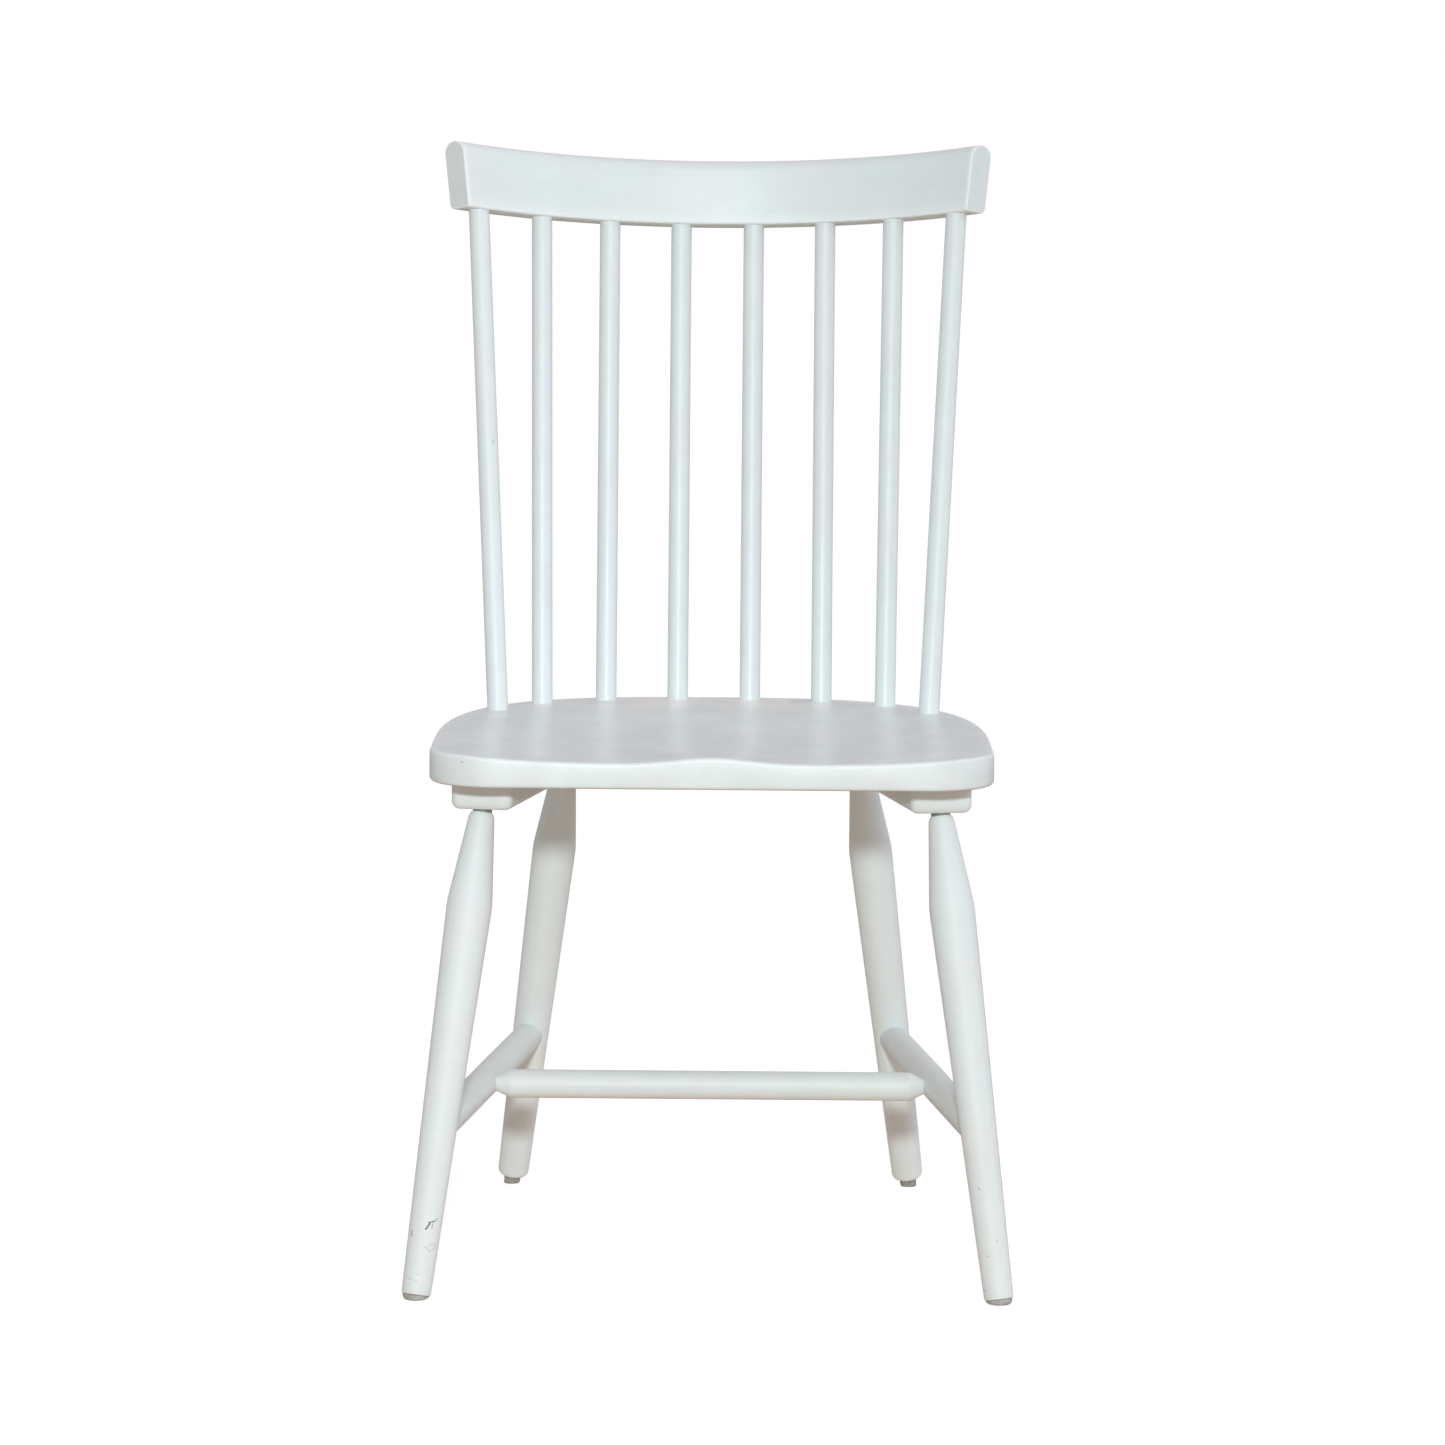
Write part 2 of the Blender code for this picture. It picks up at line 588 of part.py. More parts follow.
def make_legs():
    """Four legs with their glides. Returns each leg, its axis and its grown cutter."""
    size = FEET_DEPTH + SEAT_WIDTH
    block = box_mesh("floor_block", (size, size, OVERRUN), (0, 0, -OVERRUN / 2))
    floor_block = add_cutter("floor_block", block)
    legs = {}
    front_glide = (FRONT_GLIDE_TOP_RADIUS, FRONT_GLIDE_BOTTOM_RADIUS)
    rear_glide = (REAR_GLIDE_TOP_RADIUS, REAR_GLIDE_BOTTOM_RADIUS)
    for end, foot_radius, standoff, glide_radii in (
            ("front", FRONT_FOOT_RADIUS, FRONT_FOOT_STANDOFF, front_glide),
            ("rear", REAR_FOOT_RADIUS, REAR_FOOT_STANDOFF, rear_glide)):
        for side, sign in SIDES.items():
            top, floor = leg_ends(end, sign)
            axis = (floor - top).normalized()
            matrix = along(top - axis * LEG_TENON_LENGTH, floor)
            profile = leg_profile(top, floor, foot_radius, standoff)
            name = f"{end}_{side}"
            leg = add_part(f"{name}_leg", profile_mesh(f"{name}_leg", profile), PAINT, matrix)
            turn(leg, LEG_SIDES)
            socket = add_cutter(f"{name}_leg_socket", profile_mesh("leg_socket", grown(profile)), matrix)
            turn(socket, LEG_SIDES)
            make_glide(name, leg, top, floor, standoff, *glide_radii, floor_block)
            legs[end, side] = (leg, top, floor, socket)
    return legs


# Bearers and their bolts

def bearer_mesh(name, length):
    """A board whose long lower edges are rounded."""
    bm = bmesh.new()
    bmesh.ops.create_cube(bm, size=1)
    bmesh.ops.scale(bm, vec=(BEARER_WIDTH, length, BEARER_THICKNESS), verts=bm.verts)
    lower = [e for e in bm.edges if all(v.co.z < 0 for v in e.verts)
             and e.verts[0].co.x * e.verts[1].co.x > 0]
    bmesh.ops.bevel(bm, geom=lower, offset=BEARER_EDGE_RADIUS, segments=ROUND_STEPS, profile=0.5,
                    affect="EDGES")
    return mesh_from(bm, name)


def bolt_profile():
    """Up the bolt turned over: from the shank's tip down to a domed head."""
    points = [(0, 0), (0, BOLT_RADIUS - INSERT_CHAMFER), (INSERT_CHAMFER, BOLT_RADIUS),
              (BOLT_LENGTH, BOLT_RADIUS)]
    for step in range(ROUND_STEPS + 1):
        angle = BOLT_HEAD_DOME * step / ROUND_STEPS
        points.append((BOLT_LENGTH + BOLT_HEAD_HEIGHT * math.sin(angle) / math.sin(BOLT_HEAD_DOME),
                       BOLT_HEAD_RADIUS * math.cos(angle)))
    points.append((BOLT_LENGTH + BOLT_HEAD_HEIGHT, 0))
    return points


def make_bolt(name, place, bearer, seat):
    """A bolt with its washer under the bearer, and the insert in the seat that it screws into."""
    head_seat = BEARER_UNDERSIDE - WASHER_THICKNESS - 2 * CLEARANCE
    tip = Vector((place.x, place.y, head_seat + BOLT_LENGTH))
    matrix = Matrix.Translation(tip)
    bolt = add_part(f"{name}_bolt", profile_mesh(f"{name}_bolt", bolt_profile()), STEEL, matrix)
    turn(bolt, SMALL_SIDES)
    bm = bmesh.new()
    depth = BOLT_KEY_DEPTH + OVERRUN
    bmesh.ops.create_cone(bm, cap_ends=True, segments=KEY_SIDES, radius1=BOLT_KEY_RADIUS,
                          radius2=BOLT_KEY_RADIUS, depth=depth)
    key_top = head_seat - BOLT_HEAD_HEIGHT + BOLT_KEY_DEPTH
    key = add_cutter(f"{name}_key", mesh_from(bm, f"{name}_key"),
                     Matrix.Translation((place.x, place.y, key_top - depth / 2)))
    boolean(bolt, key)
    hole = BOLT_RADIUS + CLEARANCE
    washer_top = BEARER_UNDERSIDE - CLEARANCE
    washer_profile = [(0, hole), (0, WASHER_RADIUS), (WASHER_THICKNESS, WASHER_RADIUS),
                      (WASHER_THICKNESS, hole)]
    washer = add_part(f"{name}_washer", profile_mesh(f"{name}_washer", washer_profile, closed=True),
                      STEEL, Matrix.Translation((place.x, place.y, washer_top)))
    turn(washer, SMALL_SIDES)
    insert_top = SEAT_UNDERSIDE + INSERT_LENGTH
    insert_profile = [(0, hole), (0, INSERT_RADIUS - INSERT_CHAMFER), (INSERT_CHAMFER, INSERT_RADIUS),
                      (INSERT_LENGTH, INSERT_RADIUS), (INSERT_LENGTH, hole)]
    insert = add_part(f"{name}_insert", profile_mesh(f"{name}_insert", insert_profile, closed=True),
                      ZINC, Matrix.Translation((place.x, place.y, insert_top)))
    turn(insert, SMALL_SIDES)
    seat_hole = [(-CLEARANCE, 0), (-CLEARANCE, INSERT_RADIUS + CLEARANCE),
                 (INSERT_LENGTH + OVERRUN, INSERT_RADIUS + CLEARANCE), (INSERT_LENGTH + OVERRUN, 0)]
    bolt_hole = [(0, 0), (0, hole), (BOLT_LENGTH, hole), (BOLT_LENGTH, 0)]
    seat_cut = add_cutter(f"{name}_seat_hole", profile_mesh("seat_hole", seat_hole),
                          Matrix.Translation((place.x, place.y, insert_top)))
    bolt_cut = add_cutter(f"{name}_bolt_hole", profile_mesh("bolt_hole", bolt_hole),
                          Matrix.Translation((place.x, place.y, tip.z + CLEARANCE)))
    turn(seat_cut, SMALL_SIDES)
    turn(bolt_cut, SMALL_SIDES)
    boolean(seat, seat_cut)
    boolean(seat, bolt_cut)
    boolean(bearer, bolt_cut)


def make_bearers(legs, seat):
    """A bearer over each side's two leg tops, bolted to the seat near both legs."""
    for side, sign in SIDES.items():
        front, rear = legs["front", side][1], legs["rear", side][1]
        back = (rear - front).normalized()
        length = (rear - front).length + BEARER_FRONT_REACH + BEARER_REAR_REACH
        middle = front + back * (length / 2 - BEARER_FRONT_REACH)
        middle.x -= sign * BEARER_LEG_OFFSET
        middle.z = BEARER_TOP - BEARER_THICKNESS / 2
        matrix = Matrix.Translation(middle) @ Matrix.Rotation(-math.atan2(back.x, back.y), 4, "Z")
        bearer = add_part(f"{side}_bearer", bearer_mesh(f"{side}_bearer", length), PAINT, matrix)
        for end, direction, start in (("front", back, front), ("rear", -back, rear)):
            boolean(bearer, legs[end, side][3])
            make_bolt(f"{end}_{side}", start + direction * BOLT_FROM_LEG, bearer, seat)


# Stretchers

def on_leg(leg, height):
    """The point of a leg's axis at a height above the floor."""
    _, top, floor, _ = leg
    return floor.lerp(top, height / top.z)


def side_body_profile(length):
    """A slightly barrelled rod."""
    points = [(0, 0)]
    for step in range(BARREL_STEPS + 1):
        share = step / BARREL_STEPS
        swell = SIDE_STRETCHER_MIDDLE_RADIUS - SIDE_STRETCHER_END_RADIUS
        points.append((length * share, SIDE_STRETCHER_END_RADIUS + swell * math.sin(math.pi * share)))
    return points + [(length, 0)]


def make_side_stretcher(side, legs):
    """A rod coped to both legs, with a round tenon in each. Returns the rod and its axis."""
    front = on_leg(legs["front", side], SIDE_STRETCHER_FRONT_HEIGHT)
    rear = on_leg(legs["rear", side], SIDE_STRETCHER_REAR_HEIGHT)
    back = (rear - front).normalized()
    length = (rear - front).length
    name = f"{side}_side_stretcher"
    body = add_part(name, profile_mesh(name, side_body_profile(length)), PAINT, along(front, rear))
    turn(body, STRETCHER_SIDES)
    start = front - back * SIDE_TENON_PAST_AXIS
    reach = length + 2 * SIDE_TENON_PAST_AXIS
    tenon = [(0, 0), (0, SIDE_TENON_RADIUS), (reach, SIDE_TENON_RADIUS), (reach, 0)]
    rod = add_cutter(f"{side}_side_tenon", profile_mesh("side_tenon", tenon), along(start, rear))
    hole_mesh = profile_mesh("side_tenon_hole", grown(tenon))
    hole = add_cutter(f"{side}_side_tenon_hole", hole_mesh, along(start, rear))
    turn(rod, SMALL_SIDES)
    turn(hole, SMALL_SIDES)
    for end in ("front", "rear"):
        boolean(body, legs[end, side][3])
        boolean(legs[end, side][0], hole)
    boolean(body, rod, "UNION")
    return body, front, rear


def make_middle_stretcher(rods):
    """A rod between the side stretchers, coned down to a small tenon at both ends."""
    ends = {side: front.lerp(rear, MIDDLE_STRETCHER_SHARE) for side, (_, front, rear) in rods.items()}
    left, right = ends["left"], ends["right"]
    _, front, rear = rods["left"]
    back = (rear - front).normalized()
    face = SIDE_STRETCHER_MIDDLE_RADIUS / abs(back.y)
    across = (right - left).normalized()
    start = left - across * MIDDLE_TENON_PAST_AXIS
    total = (right - left).length + 2 * MIDDLE_TENON_PAST_AXIS
    tip = MIDDLE_TENON_PAST_AXIS + face + MIDDLE_TIP_STANDOFF
    body = tip + MIDDLE_CONE_LENGTH
    profile = [(0, 0), (0, MIDDLE_TIP_RADIUS), (tip, MIDDLE_TIP_RADIUS), (body, MIDDLE_STRETCHER_RADIUS),
               (total - body, MIDDLE_STRETCHER_RADIUS), (total - tip, MIDDLE_TIP_RADIUS),
               (total, MIDDLE_TIP_RADIUS), (total, 0)]
    matrix = along(start, right)
    rod = add_part("middle_stretcher", profile_mesh("middle_stretcher", profile), PAINT, matrix)
    turn(rod, STRETCHER_SIDES)
    tenon = [(0, 0), (0, MIDDLE_TIP_RADIUS), (total, MIDDLE_TIP_RADIUS), (total, 0)]
    hole = add_cutter("middle_tenon_hole", profile_mesh("middle_tenon_hole", grown(tenon)), matrix)
    turn(hole, STRETCHER_SIDES)
    for body_rod, _, _ in rods.values():
        boolean(body_rod, hole)


def main():
    seat = add_part("seat", seat_mesh(), PAINT)
    crest = add_part("crest_rail", crest_mesh(), PAINT, crest_matrix())
    for side, sign in SIDES.items():
        boolean(crest, saw_cut(side, sign))
    make_spindles(seat, crest)
    legs = make_legs()
    make_bearers(legs, seat)
    rods = {side: make_side_stretcher(side, legs) for side in SIDES}
    make_middle_stretcher(rods)


main()
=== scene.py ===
import math

import bmesh
import bpy
import numpy as np
from mathutils import Matrix, Vector


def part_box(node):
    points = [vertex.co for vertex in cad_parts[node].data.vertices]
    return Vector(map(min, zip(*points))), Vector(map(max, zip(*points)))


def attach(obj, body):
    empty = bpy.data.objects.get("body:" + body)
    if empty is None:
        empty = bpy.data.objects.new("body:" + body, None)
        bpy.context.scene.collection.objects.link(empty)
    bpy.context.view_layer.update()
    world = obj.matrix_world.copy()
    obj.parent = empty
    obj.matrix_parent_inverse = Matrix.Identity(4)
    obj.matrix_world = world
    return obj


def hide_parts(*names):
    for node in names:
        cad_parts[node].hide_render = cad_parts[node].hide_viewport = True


# Looks of the spindle back dining chair: white satin paint on turned and bent wood,
# grey glides under the feet and steel bolts under the seat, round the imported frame.

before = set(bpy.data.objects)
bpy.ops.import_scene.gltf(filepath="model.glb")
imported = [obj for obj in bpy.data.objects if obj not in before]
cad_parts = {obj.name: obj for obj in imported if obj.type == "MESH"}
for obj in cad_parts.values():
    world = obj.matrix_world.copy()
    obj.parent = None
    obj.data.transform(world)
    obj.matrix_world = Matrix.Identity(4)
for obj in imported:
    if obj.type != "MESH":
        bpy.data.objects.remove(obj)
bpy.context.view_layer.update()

SIDES = {"left": -1, "right": 1}
ENDS = ("front", "rear")
QUARTER = math.pi / 2
FULL_TURN = 2 * math.pi
HIDDEN = 0.015                       # how far a rod runs into the piece that holds it
EDGE_STEPS = 6
EDGE_BEND_LOW = 130.0                # one over metres: a rod bends less than this
EDGE_BEND_HIGH = 420.0
FLAT_LIMIT = 1e-5                    # one less the cosine between two faces in one plane
TINY = 1e-12                         # keeps a division away from zero

# Seat, metres
SEAT_HEIGHT = 0.451
SEAT_WIDTH = 0.467
SEAT_DEPTH = 0.4384
SEAT_THICKNESS = 0.0266
SEAT_SQUARE_DEPTH = 0.1104
SEAT_CORNER_RADIUS = 0.056
SEAT_REAR_FULLNESS = 3.0
SEAT_TOP_EDGE_RADIUS = 0.0028
SEAT_BOTTOM_EDGE_RADIUS = 0.0040
SADDLE_DEPTH = 0.0085
SADDLE_RIM = 0.024
SADDLE_REAR_RIM = 0.070
SADDLE_FRONT_SHARE = 0.62
SADDLE_FLOOR_FRONT_SHARE = 0.36
SADDLE_FLOOR_REAR_SHARE = 0.58
SADDLE_FLATNESS = 4
SADDLE_SIDE_FALL = 1.5
POMMEL_HALF_WIDTH = 0.042
POMMEL_LENGTH = 0.150
SEAT_REAR_STEPS = 150
SEAT_CORNER_STEPS = 16
SADDLE_RINGS = 34

# Crest rail and spindles
CREST_RADIUS = 0.3302
CREST_SIDE_INSET = 0.0147
CREST_HEIGHT = 0.0588
CREST_THICKNESS = 0.0263
CREST_RAKE = math.radians(11.6)
CREST_TOP_ROUND = 0.0108
CREST_FRONT_EDGE_RADIUS = 0.0026
CREST_REAR_EDGE_RADIUS = 0.0052
CREST_SHARPEST = 0.0002
CREST_END_FLARE = math.radians(8.0)
CREST_END_MARGIN = 0.0215
CREST_END_EDGE = 0.0011
CREST_END_STEPS = 5
CREST_CAP_BORDER = CREST_END_EDGE * 1.25
CREST_STATIONS = 120
CREST_TOP_STEPS = 20
CREST_FLANK_STEPS = 6
BACK_RISE = 0.4152
BACK_LEAN = math.radians(13.2)
SPINDLES = 8
SPINDLE_RADIUS = 0.0091
SPINDLE_ROW_INSET = 0.0158
OUTER_SPINDLE_FOOT_SHARE = 0.806
SPINDLE_ROW_STEPS = 400

# Legs, glides and bearers
LEG_SPLAY = {"front": 0.0513, "rear": 0.0501}
FEET_DEPTH = 0.490
SEAT_FRONT_SETBACK = 0.0046
TOPS_SIDE_INSET = {"front": 0.0437, "rear": 0.1034}
FRONT_TOPS_INSET = 0.0684
TOPS_DEPTH = 0.288
LEG_TENON_RADIUS = 0.0081
LEG_NECK_GAP = 0.0016
LEG_GAP_RADIUS = 0.0080
LEG_NECK_RADIUS = 0.0099
LEG_SHOULDER_ROUND = 0.0065
LEG_SWELL_RADIUS = 0.0190
LEG_SWELL_DROP = 0.080
LEG_SWELL_SOFTNESS = 0.0012
FOOT_RADIUS = {"front": 0.0122, "rear": 0.0137}
FOOT_STANDOFF = {"front": 0.0036, "rear": 0.0106}
FOOT_ROUND = {"front": 0.0014, "rear": 0.0042}
GLIDE_TOP_RADIUS = {"front": 0.0113, "rear": 0.0076}
GLIDE_BOTTOM_RADIUS = {"front": 0.0100, "rear": 0.0072}
GLIDE_EDGE_ROUND = {"front": 0.0017, "rear": 0.0014}
GLIDE_ROUND_LIMIT = 0.7              # of the glide's thickness
GLIDE_RIM_SHARE = 0.02
GLIDE_GAP = 0.0003
GLIDE_SIDES = 48
GLIDE_STEPS = 5
BEARER_WIDTH = 0.052
BEARER_THICKNESS = 0.0248
BEARER_GAP = 0.0003
BEARER_EDGE_RADIUS = 0.0070
BEARER_FLAT_AREA = BEARER_EDGE_RADIUS ** 2 * 20
BEARER_FLAT_BORDER = BEARER_EDGE_RADIUS / 4
BEARER_FRONT_REACH = 0.0165
BEARER_REAR_REACH = 0.0250
BEARER_LEG_OFFSET = 0.0020
BEARER_SHARP_ANGLE = math.radians(40)

# Stretchers
SIDE_STRETCHER_HEIGHT = {"front": 0.138, "rear": 0.146}
SIDE_STRETCHER_END_RADIUS = 0.0124
SIDE_STRETCHER_MIDDLE_RADIUS = 0.0132
MIDDLE_STRETCHER_SHARE = 0.455
MIDDLE_STRETCHER_RADIUS = 0.01225
MIDDLE_TIP_RADIUS = 0.0068
MIDDLE_TIP_SUNK = 0.0008
MIDDLE_CONE_LENGTH = 0.0117
MIDDLE_CONE_SOFTNESS = 0.0010

# What a turned rod has where a piece doesn't say otherwise
PLAIN_ROD = {
    "Start Flare": 0.0, "End Flare": 0.0, "Full Radius": 1.0, "Corner Softness": 0.0, "Belly": 0.0,
    "Shoulder Length": 0.001, "Shoulder Depth": 0.0, "Foot Length": 0.001, "Foot Depth": 0.0,
    "Neck Radius": 0.002, "Start Neck": 0.0, "End Neck": 0.0, "Neck Shade": 0.0, "Crowding": 0.0}
ROD_SIDES = 64
ROD_CROWDING = 0.93                  # rings drawn towards both ends, 0 for even ones

# Hardware
BOLT_HEAD_RADIUS = 0.0053
BOLT_HEAD_HEIGHT = 0.0033
BOLT_HEAD_DOME = math.radians(60.0)
BOLT_DOME_STEPS = 7
BOLT_KEY_RADIUS = 0.0023
BOLT_KEY_DEPTH = 0.0019
BOLT_RADIUS = 0.0030
BOLT_SIDES = 36
BOLT_FROM_LEG = 0.058
WASHER_RADIUS = 0.0080
WASHER_THICKNESS = 0.0014
WASHER_EDGE = 0.0003
WASHER_SIDES = 48
NAIL_LENGTH = 0.0170
NAIL_RADIUS = 0.0014
NAIL_TIP_RADIUS = NAIL_RADIUS / 8
NAIL_HEAD_RADIUS = 0.0026
NAIL_HEAD_THICKNESS = 0.0008
NAIL_HEAD_DEPTH = 0.0018
NAIL_POINT_LENGTH = 0.0030
NAIL_SIDES = 24
FIXING_SHARP_ANGLE = math.radians(35)

# Places that follow from the frame and the sizes
SEAT_FRONT_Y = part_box("seat")[0][1]
FRONT_TOPS_Y = SEAT_FRONT_Y + FRONT_TOPS_INSET
TOPS_Y = {"front": FRONT_TOPS_Y, "rear": FRONT_TOPS_Y + TOPS_DEPTH}
FRONT_FEET_Y = SEAT_FRONT_Y - SEAT_FRONT_SETBACK
FEET_Y = {"front": FRONT_FEET_Y, "rear": FRONT_FEET_Y + FEET_DEPTH}
SEAT_CURVE_Y = SEAT_FRONT_Y + SEAT_SQUARE_DEPTH
SEAT_CURVE_DEPTH = SEAT_DEPTH - SEAT_SQUARE_DEPTH
SEAT_UNDERSIDE = SEAT_HEIGHT - SEAT_THICKNESS
BEARER_TOP = SEAT_UNDERSIDE - BEARER_GAP
BEARER_UNDERSIDE = BEARER_TOP - BEARER_THICKNESS
SPINDLE_ROW_Y = SEAT_FRONT_Y + SEAT_DEPTH - SPINDLE_ROW_INSET
CREST_MIDDLE = Vector((0, SPINDLE_ROW_Y + BACK_RISE * math.tan(BACK_LEAN), SEAT_HEIGHT + BACK_RISE))
CREST_BEND = CREST_RADIUS + CREST_THICKNESS / 2
CREST_END_ANGLE = math.asin((SEAT_WIDTH / 2 - CREST_SIDE_INSET) / CREST_RADIUS)
CREST_PLACE = Matrix.Translation(CREST_MIDDLE) @ Matrix.Rotation(-CREST_RAKE, 4, "X")

# Noise: lumps in a metre, detail and roughness
BRUSH_LINES = (620.0, 4.0, 0.6)
SOFT_LINES = (130.0, 2.0, 0.5)
ORANGE_PEEL = (1100.0, 1.0, 0.5)
MOTTLE = (26.0, 2.0, 0.55)
RAGGED_EDGE = (900.0, 3.0, 0.6)
MACHINE_SCRATCHES = (1500.0, 3.0, 0.5)

# Patterns: noise, then the values of it that count as none and as full
WIDE_BLOTCHES = (16.0, 3.0, 0.5, 0.36, 0.66)
CLOSE_BLOTCHES = (85.0, 3.0, 0.5, 0.35, 0.65)
BROAD_WEAR = (24.0, 3.0, 0.5, 0.42, 0.62)
FINE_WEAR = (260.0, 3.0, 0.6, 0.40, 0.66)
RUBBED_AND_LIT_CLOUDS = (19.0, 3.0, 0.5, 0.30, 0.62)
UNDERSIDE_STREAKS = (90.0, 3.0, 0.5, 0.30, 0.70)
DIRT_SPECKS = (420.0, 4.0, 0.65, 0.38, 0.72)
MACHINE_CLOUDS = (240.0, 3.0, 0.5, 0.35, 0.70)

# Paint and its wear: what they do to tone, gloss and height
ALONG_GRAIN = (1.0, 1.0, 0.035)
STREAKED = (1.0, 1.0, 0.06)
SCRATCHED = (1.0, 1.0, 6.0)
LINE_TONE = 0.10
CLOSE_TONE = 0.016
BLOTCH_DULLING = 0.05
LINE_DULLING = 0.16
MOTTLE_HEIGHT = 20.0
PEEL_HEIGHT = 0.35
EDGE_DULLING = 0.15
WEAR_AMOUNT = 0.2
SCRATCH_DULLING = 0.30
CLOUD_DULLING = 0.10
PAINT_BUMP = (0.5, 0.00004)
MACHINE_BUMP = (0.4, 0.00002)
RUBBED_AND_LIT_START = SPINDLE_ROW_Y - 0.10
RUBBED_AND_LIT_FADE = 0.07
UNDERSIDE_FADE = 0.0020
UNDERSIDE_DULLING = 0.20
RING_DROP = 0.0027                   # a faint turned line under the crest
RING_HALF_WIDTH = 0.0006
RING_DEPTH = 0.12
FOOT_DIRT_REACH = 0.012
FOOT_DIRT_FADE = (1.0, 0.1)
GRIME_DEPTH = 0.55
GRIME_DULLING = 0.25
RAGGED_REACH = 4.0
MARK_FADE = (1.25, 0.75)

# Colours
WHITE = (1, 1, 1, 1)
PAINT = (0.755, 0.822, 0.815, 1)
PAINT_WARM = (0.785, 0.805, 0.805, 1)
# lighter rear of the seat: partly rubbed paint, partly painted light where the spindles and crest keep the
# light off
RUBBED_AND_LIT_PAINT = (0.95, 0.93, 0.91, 1)
UNDERSIDE_SHADE = (0.56, 0.52, 0.47, 1)      # darker and warm under the seat, in streaks: painted shade, which also dims the light the underside throws onto the parts below
UNDERSIDE_SHADE_STREAK = (0.50, 0.44, 0.38, 1)
# rounded edges drawn lighter: a painted highlight
EDGE_HIGHLIGHT_PAINT = (0.92, 0.96, 0.96, 1)
WORN_PAINT = (0.62, 0.62, 0.59, 1)
# painted shade in the gap at each leg's top; also the faint line under the crest
GAP_SHADE_AND_LINE = (0.22, 0.23, 0.23, 1)
SCUFF = (0.10, 0.11, 0.105, 1)
GRIME = (0.52, 0.47, 0.41, 1)

# Finishes from a machine: colour, soiled colour, roughness, metal or not
BOLT_STEEL = ((0.55, 0.55, 0.56, 1), (0.40, 0.39, 0.38, 1), 0.30, 1.0)
NAIL_STEEL = ((0.50, 0.50, 0.50, 1), (0.34, 0.31, 0.28, 1), 0.38, 1.0)
INSERT_ZINC = ((0.62, 0.60, 0.52, 1), (0.50, 0.47, 0.38, 1), 0.40, 1.0)
# The rear glides are drawn a darker grey than the front ones: painted shade.
GLIDE_PLASTIC_AND_SHADE = {"front": ((0.50, 0.51, 0.50, 1), (0.36, 0.36, 0.34, 1), 0.5, 0.0),
                 "rear": ((0.43, 0.44, 0.42, 1), (0.28, 0.28, 0.26, 1), 0.5, 0.0)}

# Marks: start, end, half width, raggedness, depth of colour
FOOT_MARKS = (
    ((-0.23248, -0.27015, 0.05912), (-0.22920, -0.26892, 0.06335), 0.00074, 0.25, 0.90),
    ((-0.23029, -0.26908, 0.06438), (-0.22579, -0.26720, 0.06506), 0.00058, 0.30, 0.80),
    ((-0.22580, -0.26723, 0.06473), (-0.22289, -0.26479, 0.06694), 0.00038, 0.30, 0.60),
    ((-0.22672, -0.26788, 0.06326), (-0.22765, -0.26871, 0.05956), 0.00050, 0.35, 0.50),
    ((-0.24409, -0.26590, 0.05698), (-0.24419, -0.26701, 0.05284), 0.00070, 0.40, 0.60),
    ((-0.22949, -0.27090, 0.04609), (-0.22494, -0.26722, 0.04596), 0.00050, 0.40, 0.26),
    ((-0.22459, -0.26669, 0.04400), (-0.22949, -0.27142, 0.04034), 0.00050, 0.40, 0.26),
    ((-0.23259, -0.27214, 0.04505), (-0.22988, -0.27156, 0.04119), 0.00050, 0.40, 0.24),
    ((-0.24798, -0.27250, 0.01973), (-0.23838, -0.27612, 0.02251), 0.00052, 0.40, 0.24),
    ((-0.24591, -0.27453, 0.01895), (-0.23953, -0.27699, 0.01707), 0.00052, 0.40, 0.24),
    ((0.22287, -0.26313, 0.09555), (0.22367, -0.26313, 0.09510), 0.00065, 0.35, 0.38),
    ((0.23790, -0.27074, 0.05302), (0.23840, -0.27074, 0.05285), 0.00055, 0.35, 0.42),
    ((0.22990, -0.27188, 0.04080), (0.23090, -0.27188, 0.04000), 0.00060, 0.35, 0.42),
    ((0.24455, -0.26253, 0.06620), (0.24475, -0.26253, 0.06340), 0.00060, 0.40, 0.30),
    ((0.24680, -0.27265, 0.02395), (0.24680, -0.27265, 0.02295), 0.00050, 0.40, 0.25),
    ((0.22836, -0.27112, 0.01198), (0.22896, -0.27112, 0.01098), 0.00075, 0.35, 0.45),
)
SPINDLE_MARKS = (((-0.19543, 0.12382, 0.68234), (-0.19495, 0.12310, 0.67888), 0.00070, 0.35, 0.30),)
SEAT_MARKS = (((-0.20516, -0.25550, 0.44579), (-0.20348, -0.25645, 0.44510), 0.00055, 0.30, 0.45),)

# Stage, light and camera
FLOOR_SIZE = 80.0
FLOOR_SEEN = (0.50, 0.50, 0.50, 1)
FLOOR_GLOW = 0.72
FLOOR_BOUNCE = (0.85, 0.70, 0.56, 1)
FLOOR_BOUNCE_FAR = (0.45, 0.42, 0.38, 1)
BOUNCE_FADE = (0.7, 2.2)                     # metres from the chair
FLOOR_GLOSS = (0.20, 0.19, 0.18, 1)
FLOOR_GLOSS_FAR = (0.80, 0.80, 0.80, 1)
GLOSS_FADE = (3.0, 8.0)
WORLD_ABOVE = (0.58, 0.50, 0.50, 1)
WORLD_LEFT = (0.38, 0.44, 0.50, 1)
WORLD_RIGHT = (0.66, 0.75, 0.85, 1)
WORLD_RIGHT_HIGH = (1.70, 1.85, 2.10, 1)
WORLD_FRONT = (0.03, 0.01, 0.01, 1)
WORLD_BACK = (1.05, 0.98, 0.98, 1)
GLOSS_ROOM = (0.95, 0.94, 0.94, 1)
GLOSS_BEHIND = (0.46, 0.45, 0.47, 1)
TOWARDS_BACK = (-0.4, 0.4)                   # from and to, in parts of a direction
TOWARDS_LEFT = (-0.25, -0.95)
TOWARDS_RIGHT = (0.35, 0.95)
TOWARDS_RIGHT_HIGH = (0.0, 0.4)
